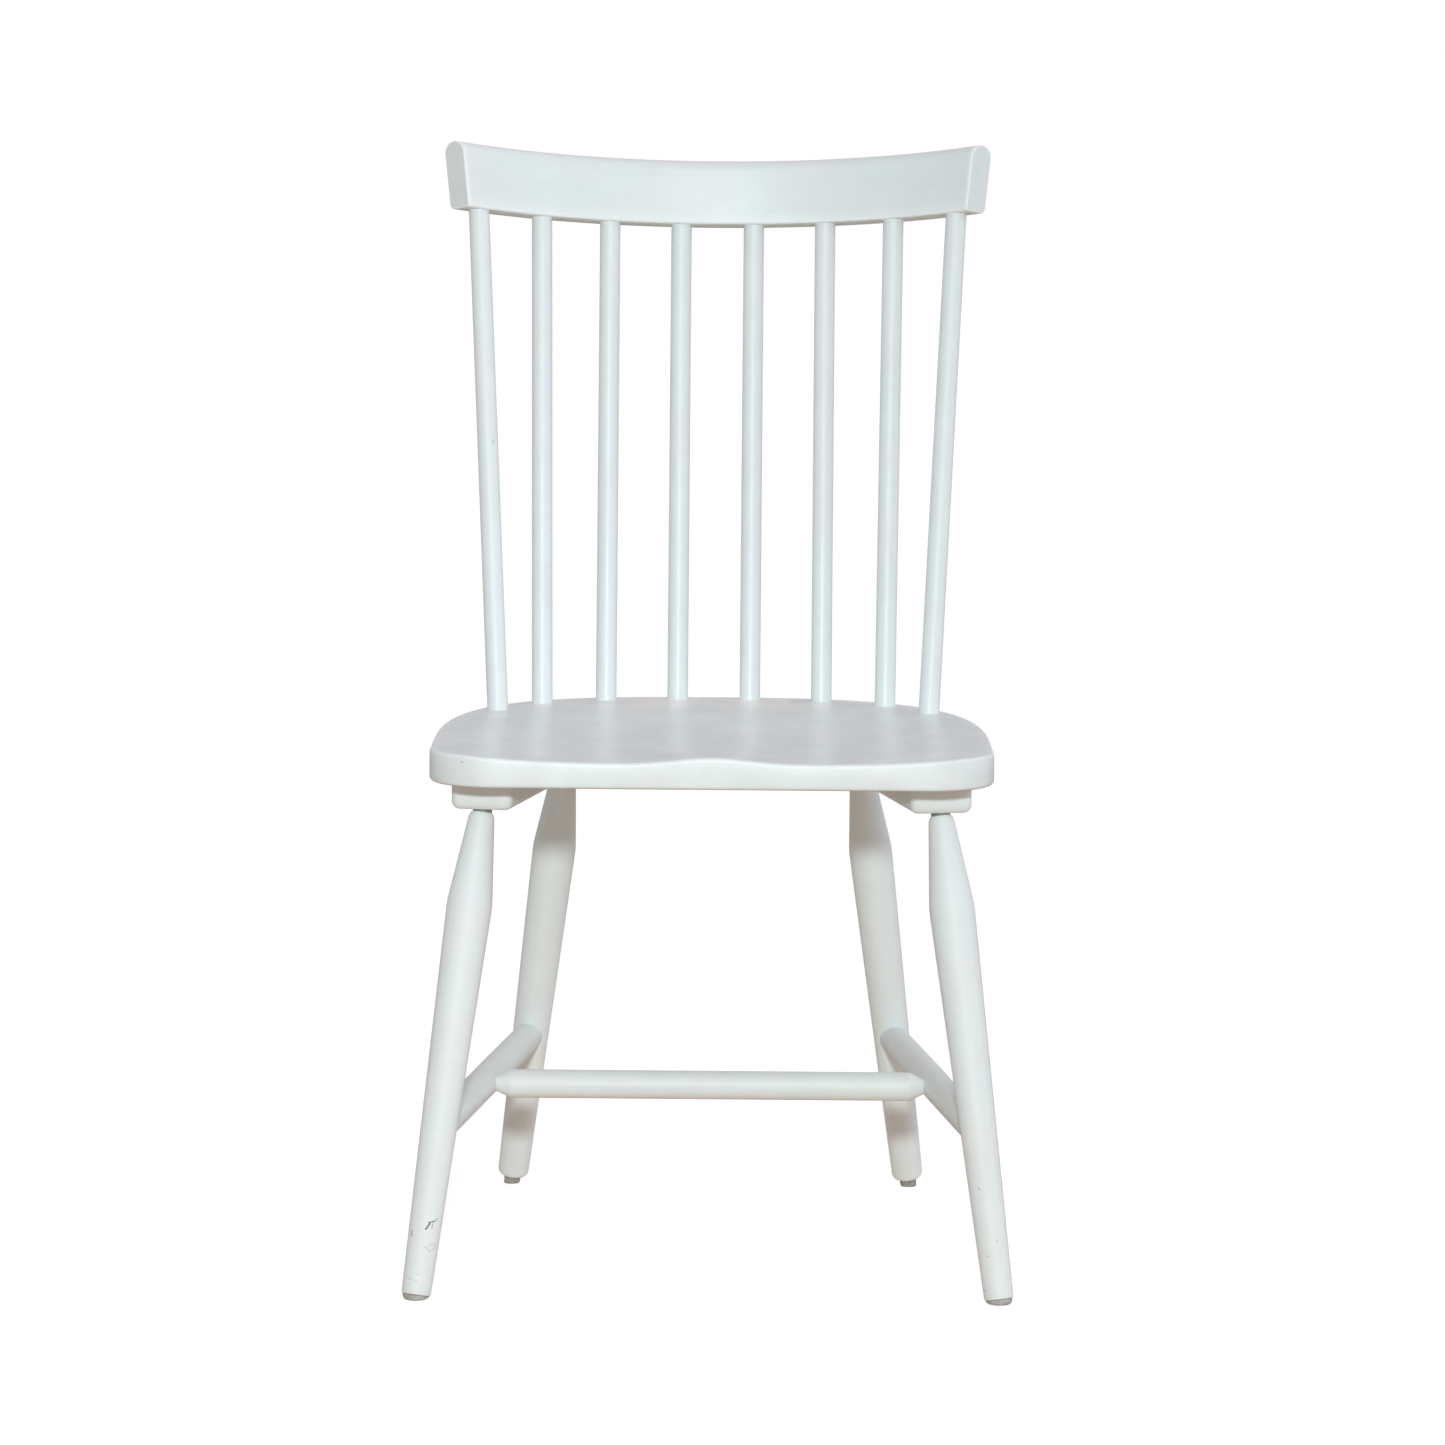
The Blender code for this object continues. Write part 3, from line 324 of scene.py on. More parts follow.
TOWARDS_ABOVE = (0.25, 0.85)
GLOSS_TOWARDS_BACK = (0.1, 0.7)
GLOSS_TOWARDS_LOW = (0.7, 0.25)
KEY_DISTANCE = 6.0
KEY_ELEVATION = math.radians(15.0)
KEY_SIZE = 0.36
KEY_POWER = 48.8
KEY_SPREAD = math.radians(90.0)
KEY_AIM = (-0.5, 0, 0.25)
KEY_COLOUR = (0.889, 0.984, 1.0)
CAMERA_PLACE = (0.0161, -5.0225, 1.0511)
CAMERA_TURN = math.radians(0.09)
CAMERA_PITCH = math.radians(6.835)
CAMERA_ROLL = math.radians(0.46)
SENSOR = 36.0
CAMERA_LENS = 146.27


# Wiring of node trees

class Term:
    """A socket to reckon with: + - * / with a number, a triple or another term adds a node."""

    def __init__(self, net, socket):
        self.net = net
        self.socket = socket

    def __add__(self, other):
        return self.net.reckon("ADD", self, other)

    def __sub__(self, other):
        return self.net.reckon("SUBTRACT", self, other)

    def __rsub__(self, other):
        return self.net.reckon("SUBTRACT", other, self)

    def __mul__(self, other):
        return self.net.reckon("MULTIPLY", self, other)

    def __truediv__(self, other):
        return self.net.reckon("DIVIDE", self, other)


class Wiring:
    """Adds nodes to a tree. Inputs go by name or number, and take a value, a term or several."""

    def __init__(self, tree, last=None):
        self.tree = tree
        self.last = last

    def feed(self, socket, value):
        for item in value if isinstance(value, list) else [value]:
            if isinstance(item, Term):
                self.tree.links.new(item.socket, socket)
            else:
                socket.default_value = item

    def give(self, values):
        """Feeds the tree's last node. Returns the tree."""
        for key, value in values.items():
            self.feed(self.last.inputs[key], value)
        return self.tree

    def node(self, kind, inputs=None, **settings):
        node = self.tree.nodes.new(kind)
        for setting, value in settings.items():
            setattr(node, setting, value)
        for key, value in (inputs or {}).items():
            self.feed(node.inputs[key], value)
        return node

    def take(self, kind, inputs=None, output=0, **settings):
        """One output of a new node."""
        return Term(self, self.node(kind, inputs, **settings).outputs[output])

    def geometry(self, kind, inputs=None, output=0, **settings):
        return self.take(f"GeometryNode{kind}", inputs, output, **settings)

    def curve(self, start, end):
        return self.geometry("CurvePrimitiveLine", {"Start": start, "End": end})

    def resample(self, curve, count):
        return self.geometry("ResampleCurve", {"Curve": curve, "Count": count})

    def shader(self, kind, inputs=None, output=0, **settings):
        return self.take(f"ShaderNode{kind}", inputs, output, **settings)

    def group(self, tree, inputs):
        """The outputs of a node group by name."""
        outputs = self.node("ShaderNodeGroup", inputs, node_tree=tree).outputs
        return {socket.name: Term(self, socket) for socket in outputs}

    def math(self, operation, *values, clamp=False):
        return self.shader("Math", dict(enumerate(values)), operation=operation, use_clamp=clamp)

    def vector(self, operation, *values, output=0):
        return self.shader("VectorMath", dict(enumerate(values)), output, operation=operation)

    def reckon(self, operation, first, second):
        """The operation on numbers, or on triples if either value is one."""
        kinds = [value.socket.type for value in (first, second) if isinstance(value, Term)]
        triples = "VECTOR" in kinds or "RGBA" in kinds
        return (self.vector if triples else self.math)(operation, first, second)

    def length(self, vector):
        return self.vector("LENGTH", vector, output="Value")

    def dot(self, first, second):
        return self.vector("DOT_PRODUCT", first, second, output="Value")

    def join(self, x=0.0, y=0.0, z=0.0):
        return self.shader("CombineXYZ", {"X": x, "Y": y, "Z": z})

    def part(self, vector, axis):
        return self.shader("SeparateXYZ", {0: vector}, axis)

    def blend(self, share, first, second):
        """A colour that goes from the first to the second as share goes from 0 to 1."""
        return self.shader("Mix", {0: share, 6: first, 7: second}, 2, data_type="RGBA")

    def ramp(self, value, low, high):
        """The value's place between low and high, from 0 to 1, eased at both ends."""
        return self.shader("MapRange", {0: value, 1: low, 2: high}, interpolation_type="SMOOTHSTEP")

    def noise(self, place, scale, detail, roughness):
        """Noise from 0 to 1, mostly near the middle."""
        return self.shader("TexNoise", {"Vector": place, "Scale": scale, "Detail": detail,
                                        "Roughness": roughness}, "Fac")

    def pattern(self, place, values):
        """Noise with its contrast raised, so that it goes from none to full."""
        return self.ramp(self.noise(place, *values[:3]), *values[3:])

    def attribute(self, name, output="Fac"):
        return self.shader("Attribute", output=output, attribute_name=name)

    def object_place(self):
        return self.shader("TexCoord", output="Object")

    def ray(self, kind):
        return self.shader("LightPath", output=f"Is {kind} Ray")

    def bump(self, height, strength, distance):
        return self.shader("Bump", {"Height": height, "Strength": strength, "Distance": distance})


def new_group(name, kind, inputs, outputs):
    """A node group, its sockets listed by their kind. Returns its wiring and its inputs."""
    group = bpy.data.node_groups.new(name, kind)
    for direction, sockets in (("INPUT", inputs), ("OUTPUT", outputs)):
        for socket_kind, labels in sockets.items():
            for label in labels.split(", "):
                group.interface.new_socket(label, in_out=direction, socket_type=f"NodeSocket{socket_kind}")
    net = Wiring(group, group.nodes.new("NodeGroupOutput"))
    return net, {socket.name: Term(net, socket) for socket in net.node("NodeGroupInput").outputs}


# Geometry trees

def rod_mesh(net, curve, radius, sides):
    """A round rod along a curve, closed at its ends."""
    circle = net.geometry("CurvePrimitiveCircle", {"Resolution": sides, "Radius": 1.0})
    return net.geometry("CurveToMesh", {"Curve": curve, "Profile Curve": circle, "Scale": radius,
                                        "Fill Caps": True})


def finish_tree(net, geometry, material):
    """Every tree ends the same way: real geometry with its material."""
    real = net.geometry("RealizeInstances", {"Geometry": geometry})
    smooth = net.geometry("SetShadeSmooth", {"Geometry": real})
    painted = net.geometry("SetMaterial", {"Geometry": smooth, "Material": material})
    return net.give({"Geometry": painted})


def turned_rod_tree():
    """A turned rod from Start to End: flared ends, a full radius, a belly and eased corners."""
    net, given = new_group("turned_rod", "GeometryNodeTree", {
        "Geometry": "Geometry", "Vector": "Start, End", "Int": "Rings, Sides", "Material": "Material",
        "Float": ", ".join(["Start Radius", "End Radius", *PLAIN_ROD])}, {"Geometry": "Geometry"})
    start, end, softness = given["Start"], given["End"], given["Corner Softness"]
    run = end - start
    rings = net.resample(net.curve(start, end), given["Rings"])
    factor = net.geometry("SplineParameter", output="Factor")
    share = factor - net.math("SINE", factor * FULL_TURN) * (given["Crowding"] / FULL_TURN)
    crowded = net.geometry("SetPosition", {"Geometry": rings, "Position": start + run * share})
    from_start = net.geometry("SplineParameter", output="Length")
    from_end = net.length(run) - from_start
    radius = net.math("SMOOTH_MIN", from_start * given["Start Flare"] + given["Start Radius"],
                      from_end * given["End Flare"] + given["End Radius"], softness)
    radius = net.math("SMOOTH_MIN", radius, given["Full Radius"], softness)
    radius = net.math("SINE", factor * math.pi) * given["Belly"] + radius
    for distance, place in ((from_start, "Shoulder"), (from_end, "Foot")):
        gone = 1.0 - net.math("DIVIDE", distance, given[f"{place} Length"], clamp=True)
        left = net.math("SQRT", 1.0 - gone * gone)
        radius = radius - (1.0 - left) * given[f"{place} Depth"]
    body = rod_mesh(net, crowded, radius, given["Sides"])
    direction = net.vector("NORMALIZE", run)
    neck_line = net.curve(start - direction * given["Start Neck"], end + direction * given["End Neck"])
    neck = rod_mesh(net, neck_line, given["Neck Radius"], given["Sides"])
    # The neck is marked for painted shade: the gap between leg and bearer drawn dark.
    shaded = net.geometry("StoreNamedAttribute", {
        "Geometry": neck, "Name": "joint", "Value": given["Neck Shade"]})
    return finish_tree(net, net.geometry("JoinGeometry", {0: [shaded, body]}), given["Material"])


def spindle_fan_tree():
    """Spindles from even places along the seat's rear curve up to even places along the crest."""
    net, given = new_group("spindle_fan", "GeometryNodeTree", {
        "Geometry": "Geometry", "Vector": "Seat Curve Middle, Crest Middle",
        "Int": "Spindles, Rings, Sides", "Material": "Material",
        "Float": "Radius, Seat Half Width, Seat Curve Depth, Seat Fullness, Outer Foot, Crest Rake, "
                 "Crest Bend, Crest Reach, Hidden Length"}, {"Geometry": "Geometry"})
    half_width, fullness, bend = given["Seat Half Width"], given["Seat Fullness"], given["Crest Bend"]
    power = net.math("DIVIDE", 2.0, fullness)
    first_cosine = net.math("POWER", given["Outer Foot"] / half_width, fullness / 2.0)
    first_angle = net.math("ARCCOSINE", first_cosine)
    fine = net.resample(net.curve((0, 0, 0), (1, 0, 0)), SPINDLE_ROW_STEPS)
    factor = net.geometry("SplineParameter", output="Factor")
    angle = (first_angle * -2.0 + math.pi) * factor + first_angle
    cosine = net.math("COSINE", angle)
    across = net.math("SIGN", cosine) * net.math("POWER", net.math("ABSOLUTE", cosine), power)
    back = net.math("POWER", net.math("SINE", angle), power) * given["Seat Curve Depth"]
    row = net.join(across * half_width * -1.0, back) + given["Seat Curve Middle"]
    curve = net.geometry("SetPosition", {"Geometry": fine, "Position": row})
    spots = net.geometry("CurveToPoints", {"Curve": curve, "Count": given["Spindles"]}, mode="COUNT")
    feet = net.geometry("PointsToVertices", {"Points": spots})
    swing = net.geometry("InputIndex") / (given["Spindles"] - 1.0) * 2.0 - 1.0
    turn = swing * given["Crest Reach"]
    top = net.join(net.math("SINE", turn) * bend, (net.math("COSINE", turn) - 1.0) * bend)
    leaned = net.shader("VectorRotate", {"Vector": top, "Angle": given["Crest Rake"] * -1.0},
                        rotation_type="X_AXIS")
    rise = leaned + given["Crest Middle"] - net.geometry("InputPosition")
    raised = net.geometry("ExtrudeMesh", {"Mesh": feet, "Offset": rise, "Offset Scale": 1.0},
                          mode="VERTICES")
    lines = net.geometry("MeshToCurve", {"Mesh": raised})
    tangent = net.geometry("InputTangent")
    for at_start, at_end, sign in ((1, 0, -1.0), (0, 1, 1.0)):
        tip = net.geometry("CurveEndpointSelection", {"Start Size": at_start, "End Size": at_end})
        lines = net.geometry("SetPosition", {"Geometry": lines, "Selection": tip,
                                             "Offset": tangent * (given["Hidden Length"] * sign)})
    rings = net.resample(lines, given["Rings"])
    return finish_tree(net, rod_mesh(net, rings, given["Radius"], given["Sides"]), given["Material"])


def fixings_tree():
    """One small fixing at every given place, its Z along the place's own axis."""
    net, given = new_group("fixings", "GeometryNodeTree", {
        "Geometry": "Geometry", "Object": "Fixing", "Int": "Turn Seed", "Material": "Material"},
        {"Geometry": "Geometry"})
    fixing = net.geometry("ObjectInfo", {"Object": given["Fixing"]}, "Geometry",
                          transform_space="ORIGINAL")
    axis = net.geometry("InputNamedAttribute", {"Name": "axis"}, data_type="FLOAT_VECTOR")
    upright = net.take("FunctionNodeAlignRotationToVector", {"Vector": axis}, axis="Z")
    angle = net.take("FunctionNodeRandomValue", {"Max": FULL_TURN, "Seed": given["Turn Seed"]}, "Value",
                     data_type="FLOAT")
    turned = net.take("FunctionNodeRotateRotation", {"Rotation": upright, "Rotate By": net.join(z=angle)},
                      rotation_space="LOCAL")
    placed = net.geometry("InstanceOnPoints", {
        "Points": given["Geometry"], "Instance": fixing, "Rotation": turned})
    return finish_tree(net, placed, given["Material"])


def grow(name, tree, sizes, start_mesh=None):
    """A plain mesh object made by a tree with the given sizes."""
    piece = link(name, start_mesh or bpy.data.meshes.new(name))
    modifier = piece.modifiers.new(tree.name, "NODES")
    modifier.node_group = tree
    for item in tree.interface.items_tree:
        if item.in_out == "INPUT" and item.name in sizes:
            modifier[item.identifier] = sizes[item.name]
    settle(piece)
    return piece


# Meshes

def link(name, data):
    """A new object in the scene."""
    thing = bpy.data.objects.new(name, data)
    bpy.context.scene.collection.objects.link(thing)
    return thing


def settle(piece):
    """Turns what the modifiers make into the piece's own plain mesh, its faces outwards."""
    graph = bpy.context.evaluated_depsgraph_get()
    mesh = bpy.data.meshes.new_from_object(piece.evaluated_get(graph))
    piece.modifiers.clear()
    piece.data = mesh
    shape = bmesh.new()
    shape.from_mesh(mesh)
    fill(mesh, shape)


def fill(mesh, shape):
    """Writes a bmesh to a mesh, its faces outwards."""
    bmesh.ops.recalc_face_normals(shape, faces=shape.faces)
    shape.to_mesh(mesh)
    shape.free()


def piece_from(shape, name, material):
    """A smooth piece from a bmesh."""
    mesh = bpy.data.meshes.new(name)
    fill(mesh, shape)
    mesh.materials.append(material)
    mesh.shade_smooth()
    return link(name, mesh)


def skin(shape, loops, hollow=False):
    """Joins closed loops of points, each to the next, and in a hollow shape the last to the first."""
    rings = [[shape.verts.new(point) for point in loop] for loop in loops]
    for lower, upper in zip(rings, rings[1:] + rings[:1] if hollow else rings[1:]):
        for i in range(len(lower)):
            shape.faces.new((lower[i - 1], lower[i], upper[i], upper[i - 1]))
    return rings


def close(shape, ring, border=None):
    """Caps a flat ring. A narrow border keeps the cap's shading flat."""
    cap = shape.faces.new(ring)
    if border:
        cap.normal_update()
        bmesh.ops.inset_region(shape, faces=[cap], thickness=border)


def solid(loops, border=None):
    """A solid through the loops, closed at both ends."""
    shape = bmesh.new()
    rings = skin(shape, loops)
    for ring in (rings[0], rings[-1]):
        close(shape, ring, border)
    return shape


def arc(center, radius, start_angle, end_angle, steps):
    """Points of an arc in a plane, both ends included."""
    return [(center[0] + radius * math.cos(a), center[1] + radius * math.sin(a))
            for a in (start_angle + (end_angle - start_angle) * i / steps for i in range(steps + 1))]


def turned_loops(profile, sides):
    """Rings about Z, from a profile of heights and radii."""
    turns = [FULL_TURN * i / sides for i in range(sides)]
    return [[(radius * math.cos(a), radius * math.sin(a), height) for a in turns]
            for height, radius in profile]


def quarter_turn(steps):
    """Angles from 0 to a right angle."""
    return [QUARTER * step / steps for step in range(steps + 1)]


def along(start, end):
    """The matrix whose origin is start and whose Z points to end."""
    return Matrix.Translation(start) @ (end - start).to_track_quat("Z", "Y").to_matrix().to_4x4()


def read(items, field, width, kind=float):
    """A field of every item, one row for each."""
    values = np.empty(len(items) * width, dtype=kind)
    items.foreach_get(field, values)
    return values.reshape(-1, width)


def flat_points(mesh, normals):
    """The points whose faces all lie in one plane, such as those on a cap's border."""
    corners = read(mesh.loops, "vertex_index", 1, int)[:, 0]
    sizes = read(mesh.polygons, "loop_total", 1, int)[:, 0]
    facing = np.repeat(read(mesh.polygon_normals, "vector", 3), sizes, axis=0)
    turned = np.zeros(len(normals))
    np.maximum.at(turned, corners, 1 - np.einsum("ij,ij->i", facing, normals[corners]))
    return turned < FLAT_LIMIT


def edge_sharpness(mesh):
    """How sharply the surface rounds at each point: 0 on faces and rods, 1 on edges."""
    places = read(mesh.vertices, "co", 3)
    normals = read(mesh.vertex_normals, "vector", 3)
    first, second = read(mesh.edges, "vertices", 2, int).T
    run = places[second] - places[first]
    bend = np.einsum("ij,ij->i", normals[second] - normals[first], run)
    bend /= np.maximum(np.einsum("ij,ij->i", run, run), TINY)
    sharpest = np.zeros(len(places))
    np.maximum.at(sharpest, first, bend)
    np.maximum.at(sharpest, second, bend)
    share = np.clip((sharpest - EDGE_BEND_LOW) / (EDGE_BEND_HIGH - EDGE_BEND_LOW), 0, 1)
    edge = (share * share * (3 - 2 * share)).astype(np.float32)
    edge[flat_points(mesh, normals)] = 0
    return edge


def wear(piece, nodes, slot):
    """The piece stands for CAD nodes and rides on the chair; the slot is not used."""
    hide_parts(*nodes)
    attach(piece, "root")


def paint_piece(piece, nodes, place):
    """Stores the edges and where each point lies in the wood (across, across, along) for the paint."""
    mesh = piece.data
    edge = edge_sharpness(mesh)
    grain = np.array([place(vertex.co) for vertex in mesh.vertices], dtype=np.float32)
    mesh.attributes.new("grain", "FLOAT_VECTOR", "POINT").data.foreach_set("vector", grain.ravel())
    mesh.attributes.new("edge", "FLOAT", "POINT").data.foreach_set("value", edge)
    wear(piece, nodes, "painted_wood")


# Shader groups

def brushed_paint_group():
    """Satin paint: soft blotches, a mottled tone, brush lines along the grain, some orange peel."""
    net, given = new_group("brushed_paint", "ShaderNodeTree", {
        "Color": "Colour, Blotch Colour", "Vector": "Grain",
        "Float": "Blotches, Brush Lines, Mottle, Sheen Roughness"},
        {"Color": "Colour", "Float": "Roughness, Height"})
    grain, lines = given["Grain"], given["Brush Lines"]
    wide = net.pattern(grain, WIDE_BLOTCHES)
    close_up = net.pattern(grain, CLOSE_BLOTCHES)
    soft_lines = net.noise(grain * ALONG_GRAIN, *SOFT_LINES)
    mottle = (net.noise(grain, *MOTTLE) - 0.5) * given["Mottle"]
    tone = ((soft_lines - 0.5) * LINE_TONE + (close_up - 0.5) * CLOSE_TONE) * lines + mottle
    colour = net.blend(wide * given["Blotches"], given["Colour"], given["Blotch Colour"])
    rough = (wide - 0.5) * BLOTCH_DULLING + given["Sheen Roughness"]
    height = (net.noise(grain * ALONG_GRAIN, *BRUSH_LINES) + soft_lines) * lines + mottle * MOTTLE_HEIGHT
    return net.give({"Colour": colour * (tone + 1.0),
                     "Roughness": (soft_lines - 0.5) * lines * LINE_DULLING + rough,
                     "Height": net.noise(grain, *ORANGE_PEEL) * PEEL_HEIGHT + height})


def edge_wear_group():
    """Where an edge has been rubbed: broken up along its length."""
    net, given = new_group("edge_wear", "ShaderNodeTree", {
        "Float": "Edge, Amount", "Vector": "Place"}, {"Float": "Worn"})
    broken = net.pattern(given["Place"], BROAD_WEAR) * net.pattern(given["Place"], FINE_WEAR)
    return net.give({"Worn": given["Edge"] * broken * given["Amount"]})


def paint_mark_group():
    """One chip or scratch: an uneven stroke from a start to an end, of a given half width."""
    net, given = new_group("paint_mark", "ShaderNodeTree", {
        "Vector": "Place, Start, End", "Float": "Half Width, Raggedness"}, {"Float": "Mark"})
    run = given["End"] - given["Start"]
    offset = given["Place"] - given["Start"]
    squared = net.math("MAXIMUM", net.dot(run, run), TINY)
    share = net.math("DIVIDE", net.dot(offset, run), squared, clamp=True)
    distance = net.length(offset - run * share) / given["Half Width"]
    rag = (net.noise(given["Place"], *RAGGED_EDGE) - 0.5) * (given["Raggedness"] * RAGGED_REACH)
    return net.give({"Mark": net.ramp(rag + distance, *MARK_FADE)})


def floor_dirt_group():
    """Grime that the floor leaves on the last part of a foot."""
    net, given = new_group("floor_dirt", "ShaderNodeTree", {
        "Vector": "Place", "Float": "Reach"}, {"Float": "Dirt"})
    near = net.ramp(net.part(given["Place"], "Z") / given["Reach"], *FOOT_DIRT_FADE)
    return net.give({"Dirt": near * net.pattern(given["Place"], DIRT_SPECKS)})


def machine_finish_group():
    """Fine colour and gloss changes of a small part from a machine."""
    net, given = new_group("machine_finish", "ShaderNodeTree", {
        "Vector": "Place", "Color": "Colour, Soiled Colour", "Float": "Roughness"},
        {"Color": "Colour", "Float": "Roughness, Height"})
    clouds = net.pattern(given["Place"], MACHINE_CLOUDS)
    scratches = net.noise(given["Place"] * SCRATCHED, *MACHINE_SCRATCHES)
    rough = (scratches - 0.5) * SCRATCH_DULLING + given["Roughness"]
    return net.give({"Colour": net.blend(clouds, given["Colour"], given["Soiled Colour"]),
                     "Roughness": clouds * CLOUD_DULLING + rough, "Height": scratches})


# Materials

def new_material(name):
    """A material, and the wiring that ends in its Principled shader."""
    material = bpy.data.materials.new(name)
    material.use_nodes = True
    return material, Wiring(material.node_tree, material.node_tree.nodes["Principled BSDF"])


def painted_wood(name, groups, blotches=0.5, brush_lines=0.6, roughness=0.40, edge_highlight=0.35,
                 mottle=0.06, is_seat=False, ringed=False, dirty_feet=False, marks=()):
    """White satin paint on wood, worn at its edges, with the marks that this piece carries, a painted
    highlight along its rounded edges and painted shade in the gaps at the legs' tops; on the seat a
    lighter rear, partly rubbed paint and partly painted light, and a darker underside of painted shade.
    """
    material, net = new_material(name)
    place = net.object_place()
    edge = net.attribute("edge")
    grain = net.attribute("grain", "Vector")
    paint = net.group(groups["brushed_paint"], {
        "Colour": PAINT, "Blotch Colour": PAINT_WARM, "Grain": grain, "Blotches": blotches,
        "Brush Lines": brush_lines, "Mottle": mottle, "Sheen Roughness": roughness})
    worn = net.group(groups["edge_wear"], {"Edge": edge, "Place": place, "Amount": WEAR_AMOUNT})["Worn"]
    # Rounded edges lighter: a painted highlight.
    colour = net.blend(edge * edge_highlight, paint["Colour"], EDGE_HIGHLIGHT_PAINT)
    colour = net.blend(worn, colour, WORN_PAINT)
    # Painted shade in the gap at the top of each leg.
    colour = net.blend(net.attribute("joint"), colour, GAP_SHADE_AND_LINE)
    rough = edge * EDGE_DULLING + paint["Roughness"]
    if is_seat:
        # A lighter rear of the seat, in clouds: partly rubbed paint, partly painted light.
        rear = net.ramp(net.part(place, "Y"), RUBBED_AND_LIT_START, RUBBED_AND_LIT_START + RUBBED_AND_LIT_FADE)
        colour = net.blend(rear * net.pattern(place, RUBBED_AND_LIT_CLOUDS), colour, RUBBED_AND_LIT_PAINT)
        # The seat's underside drawn darker and warm, in streaks: painted shade.
        shaded_underside = net.ramp(net.part(place, "Z"), SEAT_UNDERSIDE + UNDERSIDE_FADE, SEAT_UNDERSIDE)
        streaks = net.pattern(grain * STREAKED, UNDERSIDE_STREAKS)
        colour = net.blend(shaded_underside, colour, net.blend(streaks, UNDERSIDE_SHADE, UNDERSIDE_SHADE_STREAK))
        rough = shaded_underside * UNDERSIDE_DULLING + rough
    if ringed:
        below = net.dot(place - CREST_MIDDLE, (0, math.sin(CREST_RAKE), math.cos(CREST_RAKE)))
        line = net.ramp(net.math("ABSOLUTE", below + RING_DROP), RING_HALF_WIDTH, 0.0)
        colour = net.blend(line * RING_DEPTH, colour, GAP_SHADE_AND_LINE)
    if dirty_feet:
        dirt = net.group(groups["floor_dirt"], {"Place": place, "Reach": FOOT_DIRT_REACH})["Dirt"]
        colour = net.blend(dirt * GRIME_DEPTH, colour, GRIME)
        rough = dirt * GRIME_DULLING + rough
    for start, end, half_width, ragged, depth in marks:
        mark = net.group(groups["paint_mark"], {
            "Place": place, "Start": start, "End": end, "Half Width": half_width, "Raggedness": ragged})
        colour = net.blend(mark["Mark"] * depth, colour, SCUFF)
    net.give({"Base Color": colour, "Roughness": rough, "Normal": net.bump(paint["Height"], *PAINT_BUMP)})
    return material


def machined(name, groups, colour, soiled, roughness, metallic):
    """Plastic or metal from a machine."""
    material, net = new_material(name)
    finish = net.group(groups["machine_finish"], {
        "Place": net.object_place(), "Colour": colour, "Soiled Colour": soiled, "Roughness": roughness})
    net.give({"Base Color": finish["Colour"], "Roughness": finish["Roughness"],
              "Normal": net.bump(finish["Height"], *MACHINE_BUMP), "Metallic": metallic})
    return material


# Seat

def seat_half_width(y):
    """Half the seat's width at a depth, before its front corners are rounded."""
    share = max(0.0, min(1.0, (y - SEAT_CURVE_Y) / SEAT_CURVE_DEPTH))
    return SEAT_WIDTH / 2 * (1 - share ** SEAT_REAR_FULLNESS) ** (1 / SEAT_REAR_FULLNESS)


def rear_curve(angle):
    """A point on the seat's rear outline, from +X round to -X."""
    power = 2 / SEAT_REAR_FULLNESS
    x = math.copysign(abs(math.cos(angle)) ** power, math.cos(angle)) * SEAT_WIDTH / 2
    return Vector((x, SEAT_CURVE_Y + math.sin(angle) ** power * SEAT_CURVE_DEPTH))


def seat_outline():
    """The seat's plan outline, counter-clockwise from the right end of the rear curve."""
    points = [rear_curve(math.pi * i / SEAT_REAR_STEPS) for i in range(SEAT_REAR_STEPS)]
    points.append(Vector((-SEAT_WIDTH / 2, SEAT_CURVE_Y)))
    corner_x = SEAT_WIDTH / 2 - SEAT_CORNER_RADIUS
    corner_y = SEAT_FRONT_Y + SEAT_CORNER_RADIUS
    left = arc((-corner_x, corner_y), SEAT_CORNER_RADIUS, 2 * QUARTER, 3 * QUARTER, SEAT_CORNER_STEPS)
    right = arc((corner_x, corner_y), SEAT_CORNER_RADIUS, 3 * QUARTER, 4 * QUARTER, SEAT_CORNER_STEPS)
    front_steps = SEAT_REAR_STEPS // 2
    front = [(corner_x * (2 * i / front_steps - 1), SEAT_FRONT_Y) for i in range(1, front_steps)]
    return points + [Vector(p) for p in left + front + right]


def inset_outline(points, distance):
    """The outline moved inwards, square to itself."""
    moved = []
    for i, point in enumerate(points):
        tangent = (points[(i + 1) % len(points)] - points[i - 1]).normalized()
        moved.append(point + Vector((-tangent.y, tangent.x)) * distance)
    return moved


def smooth_step(value):
    """0 below 0, 1 above 1, eased between."""
    value = max(0.0, min(1.0, value))
    return value * value * (3 - 2 * value)


def saddle_drop(point):
    """How far the seat's top lies below its rim: two thigh hollows beside a pommel."""
    rear_limit = SEAT_DEPTH - SADDLE_REAR_RIM
    depth = point.y - SEAT_FRONT_Y
    across = abs(point.x) / max(seat_half_width(point.y) - SADDLE_RIM, SADDLE_RIM)
    if across >= 1 or depth >= rear_limit:
        return 0.0
    front = SADDLE_FLOOR_FRONT_SHARE * rear_limit
    rear = SADDLE_FLOOR_REAR_SHARE * rear_limit
    rise = SADDLE_FRONT_SHARE + (1 - SADDLE_FRONT_SHARE) * smooth_step(depth / front)
    fall = 1 - smooth_step((depth - rear) / (rear_limit - rear))
    pommel = math.exp(-(point.x / POMMEL_HALF_WIDTH) ** 2) * (1 - smooth_step(depth / POMMEL_LENGTH))
    return SADDLE_DEPTH * (1 - across ** SADDLE_FLATNESS) ** SADDLE_SIDE_FALL * rise * fall * (1 - pommel)


def on_top(points, drop=0.0):
    """Points of the outline's plane set on the saddled top, or a little below it."""
    return [(p.x, p.y, SEAT_HEIGHT - saddle_drop(p) - drop) for p in points]


